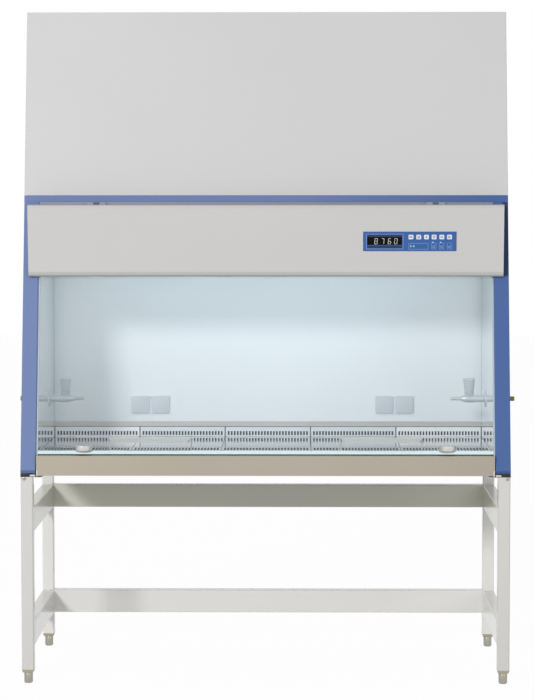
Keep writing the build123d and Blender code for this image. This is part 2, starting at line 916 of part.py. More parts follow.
def fascia():
    """Hinged front cover: sheet shell, deep at the top, with a rounded lower lip."""
    half = fascia_half_width
    back_low = front_at(fascia_low) - fascia_post_gap
    back_high = front_at(fascia_high) - fascia_post_gap
    shell = side_prism(
        [
            (fascia_top_depth, fascia_high),
            (fascia_bottom_depth, fascia_low),
            (back_low, fascia_low),
            (back_high, fascia_high),
        ],
        -half,
        half,
    )
    lower = shell.edges().filter_by(Axis.X).group_by(Axis.Z)[0]
    shell = fillet(lower, fascia_round_bottom)
    upper = shell.edges().filter_by(Axis.X).group_by(Axis.Z)[-1].sort_by(Axis.Y)[0]
    shell = fillet(upper, fascia_round_top)
    lip = fascia_low + fascia_lip
    reach = post_bend
    face_lean = math.tan(fascia_lean)
    shell -= side_prism(
        [
            (fascia_top_depth + sheet, fascia_high - sheet),
            (fascia_top_depth + sheet + (fascia_high - sheet - lip) * face_lean, lip),
            (front_at(lip) + reach, lip),
            (front_at(fascia_high) + reach, fascia_high - sheet),
        ],
        -half + sheet,
        half - sheet,
    )
    web_front = hinge_depth - knuckle_radius
    for centre in fascia_hinge_centres():
        for side in (-1, 1):
            x = centre + side * (knuckle_length + contact_gap)
            low_x, high_x = x - knuckle_length / 2, x + knuckle_length / 2
            knuckle = crosswise(low_x, high_x, hinge_depth, hinge_height, knuckle_radius, bar_sides)
            knuckle += block(
                low_x, high_x, web_front, hinge_depth + knuckle_radius, fascia_high - sheet, hinge_height
            )
            shell += knuckle
            shell -= crosswise(
                low_x - overrun, high_x + overrun, hinge_depth, hinge_height,
                bore_radius(hinge_pin_radius, pin_sides), pin_sides,
            )
    rim = contact_gap
    opening = Box(panel_width + 2 * rim, panel_height + 2 * rim, 4 * sheet)
    return shell - on_face(panel_centre, 0, 0, opening)


def fascia_hinge(centre):
    """Fixed leaf under the trim, its middle knuckle and the pin."""
    half = hinge_knuckles * knuckle_length / 2 + 2 * contact_gap
    leaf_top = trim_low
    leaf = block(
        centre - half, centre + half, front_at(trim_low) + contact_gap, front_at(trim_low) + front_flange,
        leaf_top - steel, leaf_top,
    )
    web = block(
        centre - knuckle_length / 2, centre + knuckle_length / 2, hinge_depth,
        front_at(trim_low) + 2 * sheet, leaf_top - steel, leaf_top,
    )
    half_knuckle = knuckle_length / 2 - contact_gap / 2
    knuckle = crosswise(
        centre - half_knuckle, centre + half_knuckle, hinge_depth, hinge_height, knuckle_radius, bar_sides
    )
    pin = crosswise(centre - half, centre + half, hinge_depth, hinge_height, hinge_pin_radius)
    return leaf + web + knuckle + pin


def key_positions():
    return [key_first + number * key_pitch for number in range(key_count)]


def display_panel():
    """Control plate in the fascia, with a rim behind the sheet and a pocket for each key."""
    depth = panel_proud + sheet
    plate = Box(panel_width, panel_height, depth)
    plate = fillet(plate.edges().filter_by(Axis.Z), panel_corner)
    plate = Pos(0, 0, panel_proud - depth / 2) * plate
    rim_depth = sheet
    rim = Pos(0, 0, -sheet - rim_depth / 2) * Box(
        panel_width + 2 * panel_rim, panel_height + 2 * panel_rim, rim_depth
    )
    plate += rim
    for along in key_positions():
        pocket = Box(key_width + 2 * key_gap, key_depth_along + 2 * key_gap, key_pocket)
        plate -= Pos(along, key_lift, panel_proud - key_pocket / 2) * pocket
    window = Box(window_width + 2 * key_gap, window_height + 2 * key_gap, sheet)
    plate -= Pos(window_offset, window_lift, panel_proud - sheet / 2) * window
    return on_face(panel_centre, 0, 0, plate)


def display_window():
    pane = Box(window_width, window_height, sheet - contact_gap)
    return on_face(
        panel_centre + window_offset, window_lift, panel_proud - sheet + (sheet - contact_gap) / 2, pane
    )


def display_key(number):
    cap = Box(key_width, key_depth_along, key_thickness)
    cap = chamfer(cap.edges().filter_by(Axis.Z), key_corner)
    out = panel_proud + key_proud - key_thickness / 2
    return on_face(panel_centre + key_positions()[number], key_lift, out, cap)


# ---------------------------------------------------------------- lamp
def lamp_tubes():
    half = lamp_length / 2
    depths = (lamp_front_depth, lamp_front_depth + lamp_spacing)
    return [crosswise(-half, half, depth, lamp_height, lamp_radius) for depth in depths]


def lamp_reflector():
    """Folded reflector across the posts, with a holder at each end of the tubes."""
    edge = half_width - post_width - contact_gap
    front = lamp_front_depth - lamp_radius + reflector_wall
    back = lamp_front_depth + lamp_spacing + lamp_radius - reflector_wall
    low = lamp_height + lamp_radius / 2
    high = lamp_height + reflector_rise
    low_front, low_back = front - reflector_flare, back + reflector_flare
    high_front, high_back = front + reflector_rake, back - reflector_rake
    outline = [
        (low_front, low),
        (high_front, high),
        (high_back, high),
        (low_back, low),
        (low_back - reflector_wall, low),
        (high_back - reflector_wall, high - reflector_wall),
        (high_front + reflector_wall, high - reflector_wall),
        (low_front + reflector_wall, low),
    ]
    channel = side_prism(outline, -edge, edge)
    half = lamp_length / 2
    for side in (-1, 1):
        near = side * half
        far = side * (half + lamp_holder)
        channel += block(
            min(near, far), max(near, far), front, back, lamp_height - lamp_radius, high - reflector_wall
        )
    return channel


# ---------------------------------------------------------------- air system
filter_low = chamber_top + steel
plenum_low = filter_low + filter_height


def air_diffuser():
    """Slotted ceiling of the chamber."""
    edge = work_width / 2 - contact_gap
    front = front_at(chamber_top) + guide_back + diffuser_front_gap
    back = work_depth + sheet
    plate = block(-edge, edge, front, back, chamber_top, chamber_top + steel)
    span = 2 * (plenum_half_width - diffuser_margin)
    pitch = span / (diffuser_slots - 1)
    middle = (filter_front + air_box_back) / 2
    for index in range(diffuser_slots):
        x = -span / 2 + index * pitch
        for start, end in (
            (filter_front + diffuser_margin, middle - diffuser_bar / 2),
            (middle + diffuser_bar / 2, air_box_back - diffuser_margin),
        ):
            plate -= block(
                x - diffuser_slot_width / 2, x + diffuser_slot_width / 2, start, end,
                chamber_top - overrun, chamber_top + steel + overrun,
            )
    return plate


def supply_filter():
    """Filter over the diffuser: frame with a recessed pack on both faces."""
    half = plenum_half_width
    case = block(-half, half, filter_front, air_box_back, filter_low, plenum_low)
    for low, high in (
        (filter_low - overrun, filter_low + filter_recess),
        (plenum_low - filter_recess, plenum_low + overrun),
    ):
        case -= block(
            -half + diffuser_margin, half - diffuser_margin,
            filter_front + diffuser_margin / 2, air_box_back - diffuser_margin / 2, low, high,
        )
    return case


def plenum_outline(wall):
    return [
        (filter_front + wall, plenum_low),
        (air_box_back - wall, plenum_low),
        (air_box_back - wall, plenum_top - wall),
        (plenum_top_front + wall, plenum_top - wall),
    ]


def plenum_box():
    """Pressure box over the supply filter, with a fan inlet and an exhaust opening in its top."""
    half = plenum_half_width
    box = side_prism(plenum_outline(0), -half, half)
    box -= side_prism(plenum_outline(sheet), -half + sheet, half - sheet)
    inside = block(
        -half + sheet, half - sheet, filter_front + sheet, air_box_back - sheet,
        plenum_low - overrun, plenum_low + sheet,
    )
    box -= inside
    box -= upright(
        fan_offset, fan_depth, plenum_top - 2 * sheet, plenum_top + overrun, fan_inlet_radius, wheel_sides
    )
    box -= block(
        exhaust_low_x + exhaust_lip, exhaust_high_x - exhaust_lip,
        exhaust_front + exhaust_lip, exhaust_back - exhaust_lip,
        plenum_top - 2 * sheet, plenum_top + overrun,
    )
    return box


def exhaust_filter():
    """Filter block between the plenum's top opening and the slots in the top cover."""
    low = plenum_top
    high = cabinet_top - sheet - contact_gap
    case = block(exhaust_low_x, exhaust_high_x, exhaust_front, exhaust_back, low, high)
    for start, end in ((low - overrun, low + exhaust_recess), (high - exhaust_recess, high + overrun)):
        case -= block(
            exhaust_low_x + exhaust_lip, exhaust_high_x - exhaust_lip,
            exhaust_front + exhaust_lip, exhaust_back - exhaust_lip, start, end,
        )
    return case


impeller_high = plenum_top - sheet - fan_top_gap
impeller_low = impeller_high - fan_blade_height - 2 * fan_plate


def fan_disc(low, radius, height):
    return Pos(0, 0, low + height / 2) * bar(radius, height, wheel_sides)


def fan_impeller():
    """Backward-leaning impeller: back plate, blades, inlet ring and hub, on an upright axis."""
    ring_low = fan_plate + fan_blade_height
    wheel = fan_disc(0, fan_radius, fan_plate) + fan_disc(ring_low, fan_radius, fan_plate)
    wheel -= fan_disc(ring_low, fan_inlet_radius, fan_plate)
    hub_height = fan_blade_height / 2
    wheel += Pos(0, 0, hub_height / 2) * bar(fan_hub_radius, hub_height, bar_sides)
    blade_length = fan_radius - fan_inlet_radius + fan_plate
    blade_middle = (fan_radius + fan_inlet_radius) / 2 - fan_plate
    blade = Pos(blade_middle, 0, fan_plate + fan_blade_height / 2) * Rot(0, 0, fan_blade_lean) * Box(
        blade_length, fan_plate, fan_blade_height
    )
    for number in range(fan_blades):
        wheel += Rot(0, 0, number * 360 / fan_blades) * blade
    wheel -= Pos(0, 0, hub_height / 2) * Cylinder(motor_shaft_radius + run_gap, hub_height)
    return Pos(fan_offset, foot_y + fan_depth, impeller_low) * wheel


def fan_motor():
    """Fan motor on a beam across the plenum, with its shaft up into the impeller's hub."""
    motor_high = impeller_low - contact_gap
    motor_low = motor_high - motor_height
    beam_low = motor_low - beam_height
    lean = (plenum_top_front - filter_front) / (plenum_top - plenum_low)
    wall_at_beam = filter_front + (beam_low + beam_height - plenum_low) * lean + sheet
    beam = block(
        fan_offset - beam_width / 2, fan_offset + beam_width / 2,
        wall_at_beam + contact_gap, air_box_back - sheet - contact_gap, beam_low, motor_low,
    )
    beam -= block(
        fan_offset - beam_width / 2 + sheet, fan_offset + beam_width / 2 - sheet,
        0, cabinet_depth, beam_low - overrun, motor_low - sheet,
    )
    motor = upright(fan_offset, fan_depth, motor_low, motor_high, motor_radius, wheel_sides)
    shaft = upright(
        fan_offset, fan_depth, motor_high, impeller_low + fan_blade_height / 2, motor_shaft_radius
    )
    return beam + motor + shaft


# ---------------------------------------------------------------- gas taps
def tap_run(x_low, x_high, radius, sides=0):
    """Length of the tap's pipe, along X about its own axis."""
    return Pos((x_low + x_high) / 2, 0, 0) * Rot(0, 90, 0) * bar(radius, x_high - x_low, sides)


def tap_body():
    """Right tap: flange on the side pane, valve block, barbed nozzle, bonnet and tail."""
    pane = work_width / 2
    flange_face = pane - tap_flange
    tail_end = half_width + tap_tail_reach
    tail_start = tail_end - tap_tail_length
    barb_radius = tap_nozzle_radius + tap_barb
    barb_length = (tap_neck_end - tap_nozzle_end) / tap_barbs
    tap = tap_run(tail_start, tail_end, tap_tail_radius)
    tap += tap_run(flange_face, tail_start + tap_flange, tap_pipe_radius, bar_sides)
    tap += tap_run(flange_face, pane, tap_flange_radius, wheel_sides)
    tap += tap_run(tap_neck_end + tap_cone, flange_face, tap_tube_radius, bar_sides)
    cone = [(tap_neck_end, barb_radius), (tap_neck_end + tap_cone, tap_tube_radius)]
    tap += Rot(0, 90, 0) * faceted(cone, bar_sides)
    for barb in range(tap_barbs):
        root = tap_neck_end - barb * barb_length
        cone = [(root - barb_length, tap_nozzle_radius), (root, barb_radius)]
        tap += Rot(0, 90, 0) * faceted(cone, bar_sides)
    size = 2 * tap_bulge_radius
    valve = Box(size + tap_bulge_radius / 2, size, size)
    valve = chamfer(valve.edges().filter_by(Axis.X), tap_bulge_radius / 2)
    valve += Pos(0, 0, tap_bulge_radius) * Box(size, size, tap_collar)
    neck_length = tap_neck_height - tap_bulge_radius
    valve += Pos(0, 0, tap_bulge_radius + neck_length / 2) * bar(tap_neck_radius, neck_length, bar_sides)
    valve += Pos(0, 0, tap_neck_height + tap_spindle_length / 2) * bar(
        tap_spindle_radius, tap_spindle_length
    )
    return Pos(0, foot_y + tap_depth, tap_height) * (tap + Pos(tap_knob_offset, 0, 0) * valve)


def tap_knob():
    """Right tap's handwheel: flared many-sided grip with eased ends, on the spindle."""
    low = tap_height + tap_neck_height + contact_gap
    rings = [
        (0, knob_foot_radius - knob_round),
        (knob_round, knob_foot_radius),
        (knob_height - knob_round, knob_radius),
        (knob_height, knob_radius - knob_round),
    ]
    grip = faceted(rings, knob_sides)
    bore = tap_spindle_length + contact_gap
    grip -= Pos(0, 0, bore / 2) * bar(bore_radius(tap_spindle_radius, bar_sides), bore, bar_sides)
    return Pos(tap_knob_offset, foot_y + tap_depth, low) * grip


# ---------------------------------------------------------------- sockets
socket_pair_half = socket_flap_width + socket_flap_gap / 2 + socket_plate_margin
socket_high = socket_low + socket_flap_height
flap_back = work_depth - socket_plate - contact_gap
flap_axis_depth = flap_back - socket_flap / 2
flap_axis_height = socket_high - socket_flap / 2


def flap_centres(centre):
    shift = (socket_flap_width + socket_flap_gap) / 2
    return (centre - shift, centre + shift)


def socket_box(centre):
    """Pair of sockets: frame plate on the wall, box behind it, two wells and the hinge ears."""
    half = socket_pair_half
    margin = socket_plate_margin
    plate = block(
        centre - half, centre + half, work_depth - socket_plate, work_depth,
        socket_low - margin, socket_high + margin,
    )
    inner = half - margin - sheet - contact_gap
    body = plate + block(
        centre - inner, centre + inner, work_depth, work_depth + socket_box_depth,
        socket_low + sheet + contact_gap, socket_high - sheet - contact_gap,
    )
    middle = (socket_low + socket_high) / 2
    well = socket_well / 2
    for x in flap_centres(centre):
        body -= block(
            x - well, x + well, work_depth - socket_plate - overrun,
            work_depth - socket_plate + socket_well_depth, middle - well, middle + well,
        )
    ear_front = flap_axis_depth - socket_flap / 2
    for x in flap_centres(centre):
        for side in (-1, 1):
            near = x + side * (socket_flap_width / 2 + contact_gap)
            far = near + side * flap_ear
            body += block(
                min(near, far), max(near, far), ear_front, work_depth - socket_plate,
                flap_axis_height - socket_flap / 2, socket_high,
            )
        pin_hole = socket_flap_width / 2 + flap_ear + 2 * contact_gap
        body -= crosswise(
            x - pin_hole, x + pin_hole, flap_axis_depth, flap_axis_height,
            bore_radius(flap_pin_radius, pin_sides), pin_sides,
        )
    return body


def socket_flap_at(x):
    """Sprung flap over one socket, rounded at its hinge, with a pin at each end."""
    half = socket_flap_width / 2
    back = flap_back
    front = back - socket_flap
    cover = block(x - half, x + half, front, back, socket_low, flap_axis_height)
    corners = cover.edges().filter_by(Axis.Y).group_by(Axis.Z)[0]
    cover = chamfer(corners, socket_corner / 2)
    cover += crosswise(x - half, x + half, flap_axis_depth, flap_axis_height, socket_flap / 2, bar_sides)
    pin = half + contact_gap + flap_ear
    return cover + crosswise(x - pin, x + pin, flap_axis_depth, flap_axis_height, flap_pin_radius)


# ---------------------------------------------------------------- nodes
def build_nodes():
    """Each node's name with its solids."""
    nodes = {
        "stand_legs": stand_legs(),
        "stand_side_rails": stand_side_rails(),
        "stand_rear_rails": stand_rear_rails(),
        "leg_plugs": [leg_plug(x, depth) for x, depth in leg_centres()],
    }
    foot_names = ("front_left", "front_right", "rear_left", "rear_right")
    for name, (x, depth) in zip(foot_names, leg_centres()):
        nodes["levelling_foot_" + name] = [levelling_foot(x, depth)]
    for name, shape in (("front_post", front_post()), ("side_panel", side_panel())):
        nodes[name + "_left"] = [other_side(shape)]
        nodes[name + "_right"] = [shape]
    window = side_window()
    nodes["side_windows"] = [other_side(window), window]
    nodes["back_wall"] = back_wall()
    nodes["rear_air_guide"] = [rear_air_guide()]
    nodes["rear_panel"] = [rear_panel()]
    nodes["top_cover"] = [top_cover()]
    nodes["hood_panel"] = [hood_panel()]
    nodes["hood_trim"] = [hood_trim()]
    nodes["front_sill"] = [front_sill()]
    nodes["sash_seal"] = [sash_seal()]
    nodes["spill_pan"] = [spill_pan()]
    nodes["tray_pair_left"] = [tray(0), tray(1)]
    nodes["tray_middle"] = [tray(2)]
    nodes["tray_pair_right"] = [tray(3), tray(4)]
    nodes["armrest_left"] = [armrest(-armrest_offset)]
    nodes["armrest_right"] = [armrest(armrest_offset)]
    nodes["sash_glass"] = [sash_glass()]
    nodes["sash_handles"] = [sash_handle(-handle_offset), sash_handle(handle_offset)]
    guide = sash_guide()
    nodes["sash_guides"] = [other_side(guide), guide]
    nodes["sash_pulley_shaft"] = [pulley_shaft()]
    nodes["sash_counterweight_left"] = [counterweight(-cable_offset)]
    nodes["sash_counterweight_right"] = [counterweight(cable_offset)]
    nodes["sash_cables"] = [sash_cable(-cable_offset), sash_cable(cable_offset)]
    nodes["fascia"] = [fascia()]
    nodes["fascia_hinges"] = [fascia_hinge(centre) for centre in fascia_hinge_centres()]
    nodes["display_panel"] = [display_panel()]
    nodes["display_window"] = [display_window()]
    for number in range(key_count):
        nodes["display_key_" + str(number + 1)] = [display_key(number)]
    nodes["lamp_tubes"] = lamp_tubes()
    nodes["lamp_reflector"] = [lamp_reflector()]
    nodes["air_diffuser"] = [air_diffuser()]
    nodes["supply_filter"] = [supply_filter()]
    nodes["exhaust_filter"] = [exhaust_filter()]
    nodes["plenum_box"] = [plenum_box()]
    nodes["fan_motor"] = [fan_motor()]
    nodes["fan_impeller"] = [fan_impeller()]
    body = tap_body()
    nodes["tap_bodies"] = [other_side(body), body]
    knob = tap_knob()
    nodes["tap_knob_left"] = [other_side(knob)]
    nodes["tap_knob_right"] = [knob]
    nodes["socket_boxes"] = [socket_box(centre) for centre in socket_centres]
    flap_places = [x for centre in socket_centres for x in flap_centres(centre)]
    for number, x in enumerate(flap_places):
        nodes["socket_flap_" + str(number + 1)] = [socket_flap_at(x)]
    return nodes


def solids_of(shapes):
    """All solids of a list of shapes, so that a node holds solids and no loose faces."""
    return [solid for shape in shapes for solid in shape.solids()]


os.makedirs("parts", exist_ok=True)
for node_name, node_shapes in build_nodes().items():
    node_solids = solids_of(node_shapes)
    node = node_solids[0] if len(node_solids) == 1 else Compound(children=node_solids)
    export_step(node, "parts/" + node_name + ".step")
    print(node_name, len(node_solids))
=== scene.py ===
# %% [markdown]
# # A biosafety cabinet on its stand
# The cabinet is a folded steel body with a leaning front. A glass sash slides between two blue
# posts, a hinged fascia covers the lamps, and slotted steel trays make the worktop. The exact
# shapes are already solids, so this lesson gives them finishes, adds the small pieces that are
# moulded, turned or printed, and then lights the whole as in a catalogue.

# %% Load the solids
import math

import bpy
from mathutils import Matrix, Vector


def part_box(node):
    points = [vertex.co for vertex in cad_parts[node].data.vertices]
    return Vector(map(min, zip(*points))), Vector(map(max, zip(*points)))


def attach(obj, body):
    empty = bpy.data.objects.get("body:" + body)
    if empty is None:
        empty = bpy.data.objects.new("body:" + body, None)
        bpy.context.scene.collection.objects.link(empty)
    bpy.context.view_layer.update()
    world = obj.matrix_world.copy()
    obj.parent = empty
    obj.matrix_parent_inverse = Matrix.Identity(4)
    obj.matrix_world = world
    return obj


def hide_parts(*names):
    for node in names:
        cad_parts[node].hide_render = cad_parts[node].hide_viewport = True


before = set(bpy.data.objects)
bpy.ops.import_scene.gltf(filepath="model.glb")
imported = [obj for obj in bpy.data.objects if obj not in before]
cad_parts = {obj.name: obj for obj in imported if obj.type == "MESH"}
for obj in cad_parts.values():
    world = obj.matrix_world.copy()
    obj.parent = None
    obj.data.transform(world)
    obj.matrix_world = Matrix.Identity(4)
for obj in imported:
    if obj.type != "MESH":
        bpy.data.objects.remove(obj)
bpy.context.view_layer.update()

# %% [markdown]
# Depth is counted from the foot of the front posts, as a fitter would measure it. The origin of
# the model is under its middle, so one helper turns depth into Y. Everything else is in
# millimetres here and in metres in Blender.

# %% Measures
mm = 0.001
post_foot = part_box("side_panel_right")[0].y - 1 * mm
half_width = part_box("hood_panel")[1].x
slope = math.radians(11)
stand_height, sash_recess = 680, 12
fascia_low, fascia_high = 1332.0, 1568.5
fascia_depth_low, fascia_depth_high = 108.0, 84.5
lean = math.atan2(fascia_depth_low - fascia_depth_high, fascia_high - fascia_low)


def place(x, depth, height):
    """A point from its X, its depth behind the post's foot and its height, all in millimetres."""
    return Vector((x * mm, post_foot + depth * mm, height * mm))


print("post foot at Y", round(post_foot, 4), "half width", round(half_width, 3))

# %% [markdown]
# A finish is a handful of numbers on the shader and a few patterns. Patterns are easier to read
# as formulas than as wires, so a Signal wraps one output of a node and understands + - * /, and
# a Finish adds nodes to a material with a single method.


# %% Formulas for finishes
class Signal:
    """One output of a shader node that Python's operators can work on."""

    def __init__(self, finish, socket):
        self.finish = finish
        self.socket = socket

    def _with(self, operation, first, second):
        return self.finish.node("ShaderNodeMath", {"operation": operation}, {0: first, 1: second})

    def __add__(self, other):
        return self._with("ADD", self, other)

    def __radd__(self, other):
        return self._with("ADD", other, self)

    def __sub__(self, other):
        return self._with("SUBTRACT", self, other)

    def __rsub__(self, other):
        return self._with("SUBTRACT", other, self)

    def __mul__(self, other):
        return self._with("MULTIPLY", self, other)

    def __rmul__(self, other):
        return self._with("MULTIPLY", other, self)

    def __gt__(self, other):
        return self._with("GREATER_THAN", self, other)

    def __lt__(self, other):
        return self._with("LESS_THAN", self, other)


class Finish:
    """A material under construction."""

    def __init__(self, name, **constants):
        self.material = bpy.data.materials.new(name)
        self.material.use_nodes = True
        self.tree = self.material.node_tree
        self.shader = self.tree.nodes["Principled BSDF"]
        for socket, value in constants.items():
            self.shader.inputs[socket.replace("_", " ")].default_value = value

    def node(self, kind, settings=None, inputs=None, output=0):
        made = self.tree.nodes.new(kind)
        for key, value in (settings or {}).items():
            if key == "stops":
                ramp = made.color_ramp.elements
                while len(ramp) < len(value):
                    ramp.new(0.5)
                for element, (position, colour) in zip(ramp, value):
                    element.position = position
                    element.color = colour
            else:
                setattr(made, key, value)
        for key, value in (inputs or {}).items():
            if isinstance(value, Signal):
                self.tree.links.new(value.socket, made.inputs[key])
            else:
                made.inputs[key].default_value = value
        return Signal(self, made.outputs[output])

    def feed(self, socket, signal):
        self.tree.links.new(signal.socket, self.shader.inputs[socket])

    def point(self):
        return self.node("ShaderNodeTexCoord", output="Object")

    def axes(self):
        split = self.node("ShaderNodeSeparateXYZ", inputs={0: self.point()}).socket.node
        return [Signal(self, out) for out in split.outputs]

    def noise(self, scale, detail=2.0, stretch=(1, 1, 1)):
        """Soft noise with a size given in features per metre, stretched along the axes."""
        where = self.node("ShaderNodeMapping", inputs={"Vector": self.point(), "Scale": stretch})
        settings = {"Vector": where, "Scale": scale, "Detail": detail}
        return self.node("ShaderNodeTexNoise", inputs=settings)

    def blend(self, factor, first, second):
        """A colour between two colours."""
        return self.node(
            "ShaderNodeMix", {"data_type": "RGBA"}, {0: factor, 6: first, 7: second}, output=2
        )

    def relief(self, height, strength, distance):
        bump = {"Height": height, "Strength": strength, "Distance": distance}
        self.feed("Normal", self.node("ShaderNodeBump", inputs=bump))


def colour(code, alpha=1.0):
    """A colour from its hexadecimal code, as the linear values that shaders use."""
    values = [int(code[i : i + 2], 16) / 255 for i in (1, 3, 5)]
    return tuple(v / 12.92 if v <= 0.04045 else ((v + 0.055) / 1.055) ** 2.4 for v in values) + (alpha,)


def dress(node, finish):
    """Give a solid its finish."""
    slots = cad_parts[node].data.materials
    if not len(slots):
        slots.append(None)
    for index in range(len(slots)):
        slots[index] = finish.material


print("mid grey is", [round(v, 3) for v in colour("#808080")])

# %% [markdown]
# Powder coat is the main finish. It is a satin paint with a very fine orange peel, and large
# panels are never perfectly even, so the colour drifts by a percent or two over the sheet.


# %% Powder coat
def powder_coat(name, code, shade, roughness=0.42, coat=0.0, peel=900):
    finish = Finish(
        name, Roughness=roughness, Coat_Weight=coat, Coat_Roughness=0.12, Specular_IOR_Level=0.3
    )
    finish.plain = finish.blend(finish.noise(1.7, 3), colour(code), colour(shade))
    finish.feed("Base Color", finish.plain)
    finish.feed("Roughness", finish.noise(60, 2) * 0.08 + (roughness - 0.04))
    finish.relief(finish.noise(peel, 1), 0.08, 0.0004)
    return finish


hood_coat = powder_coat("hood_coat", "#D3D3D3", "#CDCDCD")
panel_coat = powder_coat("panel_coat", "#D2D2D0", "#CDCDCA")
chamber_coat = powder_coat("chamber_coat", "#F0F6F9", "#ECF3F7", 0.3)
dress("hood_panel", hood_coat)
for node in ("side_panel_left", "side_panel_right", "top_cover"):
    dress(node, panel_coat)
for node in ("back_wall", "air_diffuser", "socket_boxes"):
    dress(node, chamber_coat)
print("powder coat on the hood, the panels and the chamber")

# %% [markdown]
# Some panels differ from place to place. The fascia's folds along its upper and lower edge face up and
# down, and their shade is painted in as a darker grey; its top edge in the gap gets a darker painted
# shade still. The rear panel is dark on all but its outer face, on the side of the air duct. On the
# stand, the legs and rails behind the front legs are painted lighter, a painted light, and the upper
# rails get an olive tint that is painted shade. Each is a mask on the coordinates.

# %% Panels with painted shade and light
fascia_coat = powder_coat("fascia_coat", "#CFCECC", "#C9C8C6", 0.38)
x, y, z = fascia_coat.axes()


def fading(start, end):
    """A mask over the height that is 0 at the start and 1 at the end."""
    limits = {"Value": z, "From Min": start, "From Max": end}
    return fascia_coat.node("ShaderNodeMapRange", inputs=limits)


# Painted shade: the upper fold, the top edge in the gap and the lower fold are darkened in the colour.
shaded_upper_fold = z > 1.556
plain = fascia_coat.blend(shaded_upper_fold * 0.7, fascia_coat.plain, colour("#C5C6C4"))
plain = fascia_coat.blend(fading(1.5635, fascia_high * mm), plain, colour("#A2A4A9"))
plain = fascia_coat.blend(fading(1.349, 1.347), plain, colour("#BABCB8"))
plain = fascia_coat.blend(fading(1.342, fascia_low * mm), plain, colour("#989C9A"))
fascia_coat.feed("Base Color", plain)
dress("fascia", fascia_coat)

rear_coat = powder_coat("rear_coat", "#D2D2D0", "#CDCDCA")
x, y, z = rear_coat.axes()
# The rear panel is dark on all but its outer face.
duct_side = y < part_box("rear_panel")[1].y - 0.5 * mm
rear_coat.feed("Base Color", rear_coat.blend(duct_side, colour("#D0D0CE"), colour("#3A3B3D")))
dress("rear_panel", rear_coat)

stand_coat = powder_coat("stand_coat", "#DAD9D5", "#D5D4D0", 0.25, 0.3, 500)
x, y, z = stand_coat.axes()
# Painted light and shade: the parts behind the front legs are painted lighter, and the upper rails get
# an olive tint for their shade.
painted_light_behind_legs = y > -0.31
painted_shade_upper_rails = (z > 0.49) * (z < 0.5781) * (y > -0.325)
plain = stand_coat.blend(painted_light_behind_legs, stand_coat.plain, colour("#F1F0ED"))
stand_coat.feed("Base Color", stand_coat.blend(painted_shade_upper_rails, plain, colour("#DEDDCF")))
for node in ("stand_legs", "stand_side_rails", "stand_rear_rails"):
    dress(node, stand_coat)
print("painted-light-and-shade panels:", 3)

# %% [markdown]
# The posts are folded from one sheet. Their lowest ten millimetres are bent under, so that strip faces
# the floor, and its shade is painted in as a darker blue. Beside the fascia's right end the post lies
# in its shade, painted in as a dark navy. The blue of the posts and the trim also carries a painted
# light, lighter on the left, towards the key lamp, and darker on the right.

# %% Blue posts and trim
blue = Finish("post_blue", Roughness=0.45, Specular_IOR_Level=0.2)
x, y, z = blue.axes()
drift = blue.noise(2.3, 2)
# Painted light: the blue is lighter on the left and darker on the right.
across = blue.node("ShaderNodeMapRange", inputs={"Value": x, "From Min": 0.1, "From Max": 0.75})
plain = blue.blend(across, colour("#7385B2"), colour("#4A669E"))
plain = blue.blend(drift * 0.3, plain, colour("#5D77A9"))
# Painted shade on the bent-under strip and the fascia's shadow on the right post.
painted_shade_bent_under = (z < 0.7035) * (z > 0.6938)
plain = blue.blend(painted_shade_bent_under * 0.6, plain, colour("#34497C"))
beside_fascia = (z > 1.334) * (z < 1.5763) * (x > 0.7804)
blue.feed("Base Color", blue.blend(beside_fascia * 0.8, plain, colour("#1C2540")))
blue.relief(blue.noise(800, 1), 0.08, 0.0004)
for node in ("front_post_left", "front_post_right", "hood_trim"):
    dress(node, blue)
print("blue:", blue.material.name)

# %% [markdown]
# Stainless sheet is brushed along one direction, and the brushing is a noise that is stretched along X.
# On the apron it is coarse and warm. The trays are polished further, so they mirror their slots, while
# their upstands are satin and bright; the upstands of the two outer trays are painted brighter still, a
# painted light. Where two trays meet, their rounded edges look dark.


# %% Stainless steel
def stainless(name, code, shade, roughness, stretch, strength):
    finish = Finish(name, Metallic=1.0, Roughness=roughness)
    grain = finish.noise(900, 2, stretch)
    cloud = finish.noise(2.5, 2)
    finish.feed("Base Color", finish.blend(cloud, colour(code), colour(shade)))
    finish.feed("Roughness", grain * 0.12 + (roughness - 0.06))
    finish.relief(grain, strength, 0.0003)
    return finish


apron_steel = stainless("apron_steel", "#AEA69A", "#A49C8F", 0.42, (0.04, 1, 1), 0.2)
tray_steel = Finish("tray_steel", Metallic=1.0, Roughness=0.12)
half_tray = 0.15
x, y, z = tray_steel.axes()
from_middle = tray_steel.node("ShaderNodeMath", {"operation": "ABSOLUTE"}, {0: x})
# Painted light: the upstands of the outer trays are brighter.
painted_light_outer_trays = from_middle > 3 * half_tray
upstand = (y > 0.2735) * (z > 0.7525)
to_seam = {0: from_middle + half_tray, 1: half_tray}
seam = tray_steel.node("ShaderNodeMath", {"operation": "PINGPONG"}, to_seam) < 0.0022
flat = tray_steel.blend(tray_steel.noise(2.5, 2), colour("#C9CED2"), colour("#C2C8CD"))
standing = tray_steel.blend(painted_light_outer_trays, colour("#DFE5E9"), colour("#F5F7F9"))
plain = tray_steel.blend(upstand, flat, standing)
tray_steel.feed("Base Color", tray_steel.blend(seam * 0.8, plain, colour("#343A3F")))
tray_steel.feed("Metallic", 1.0 - upstand * 0.75)
tray_steel.feed("Roughness", tray_steel.noise(40, 2) * 0.02 + upstand * 0.3 + 0.1)
strip_steel = stainless("strip_steel", "#C1C1BC", "#B9B9B4", 0.45, (0.3, 1, 1), 0.0)
pan_steel = stainless("pan_steel", "#5E6062", "#55575A", 0.5, (0.04, 1, 1), 0.02)
rest_steel = stainless("rest_steel", "#DEDAD3", "#D6D2CB", 0.4, (0.05, 1, 1), 0.0)
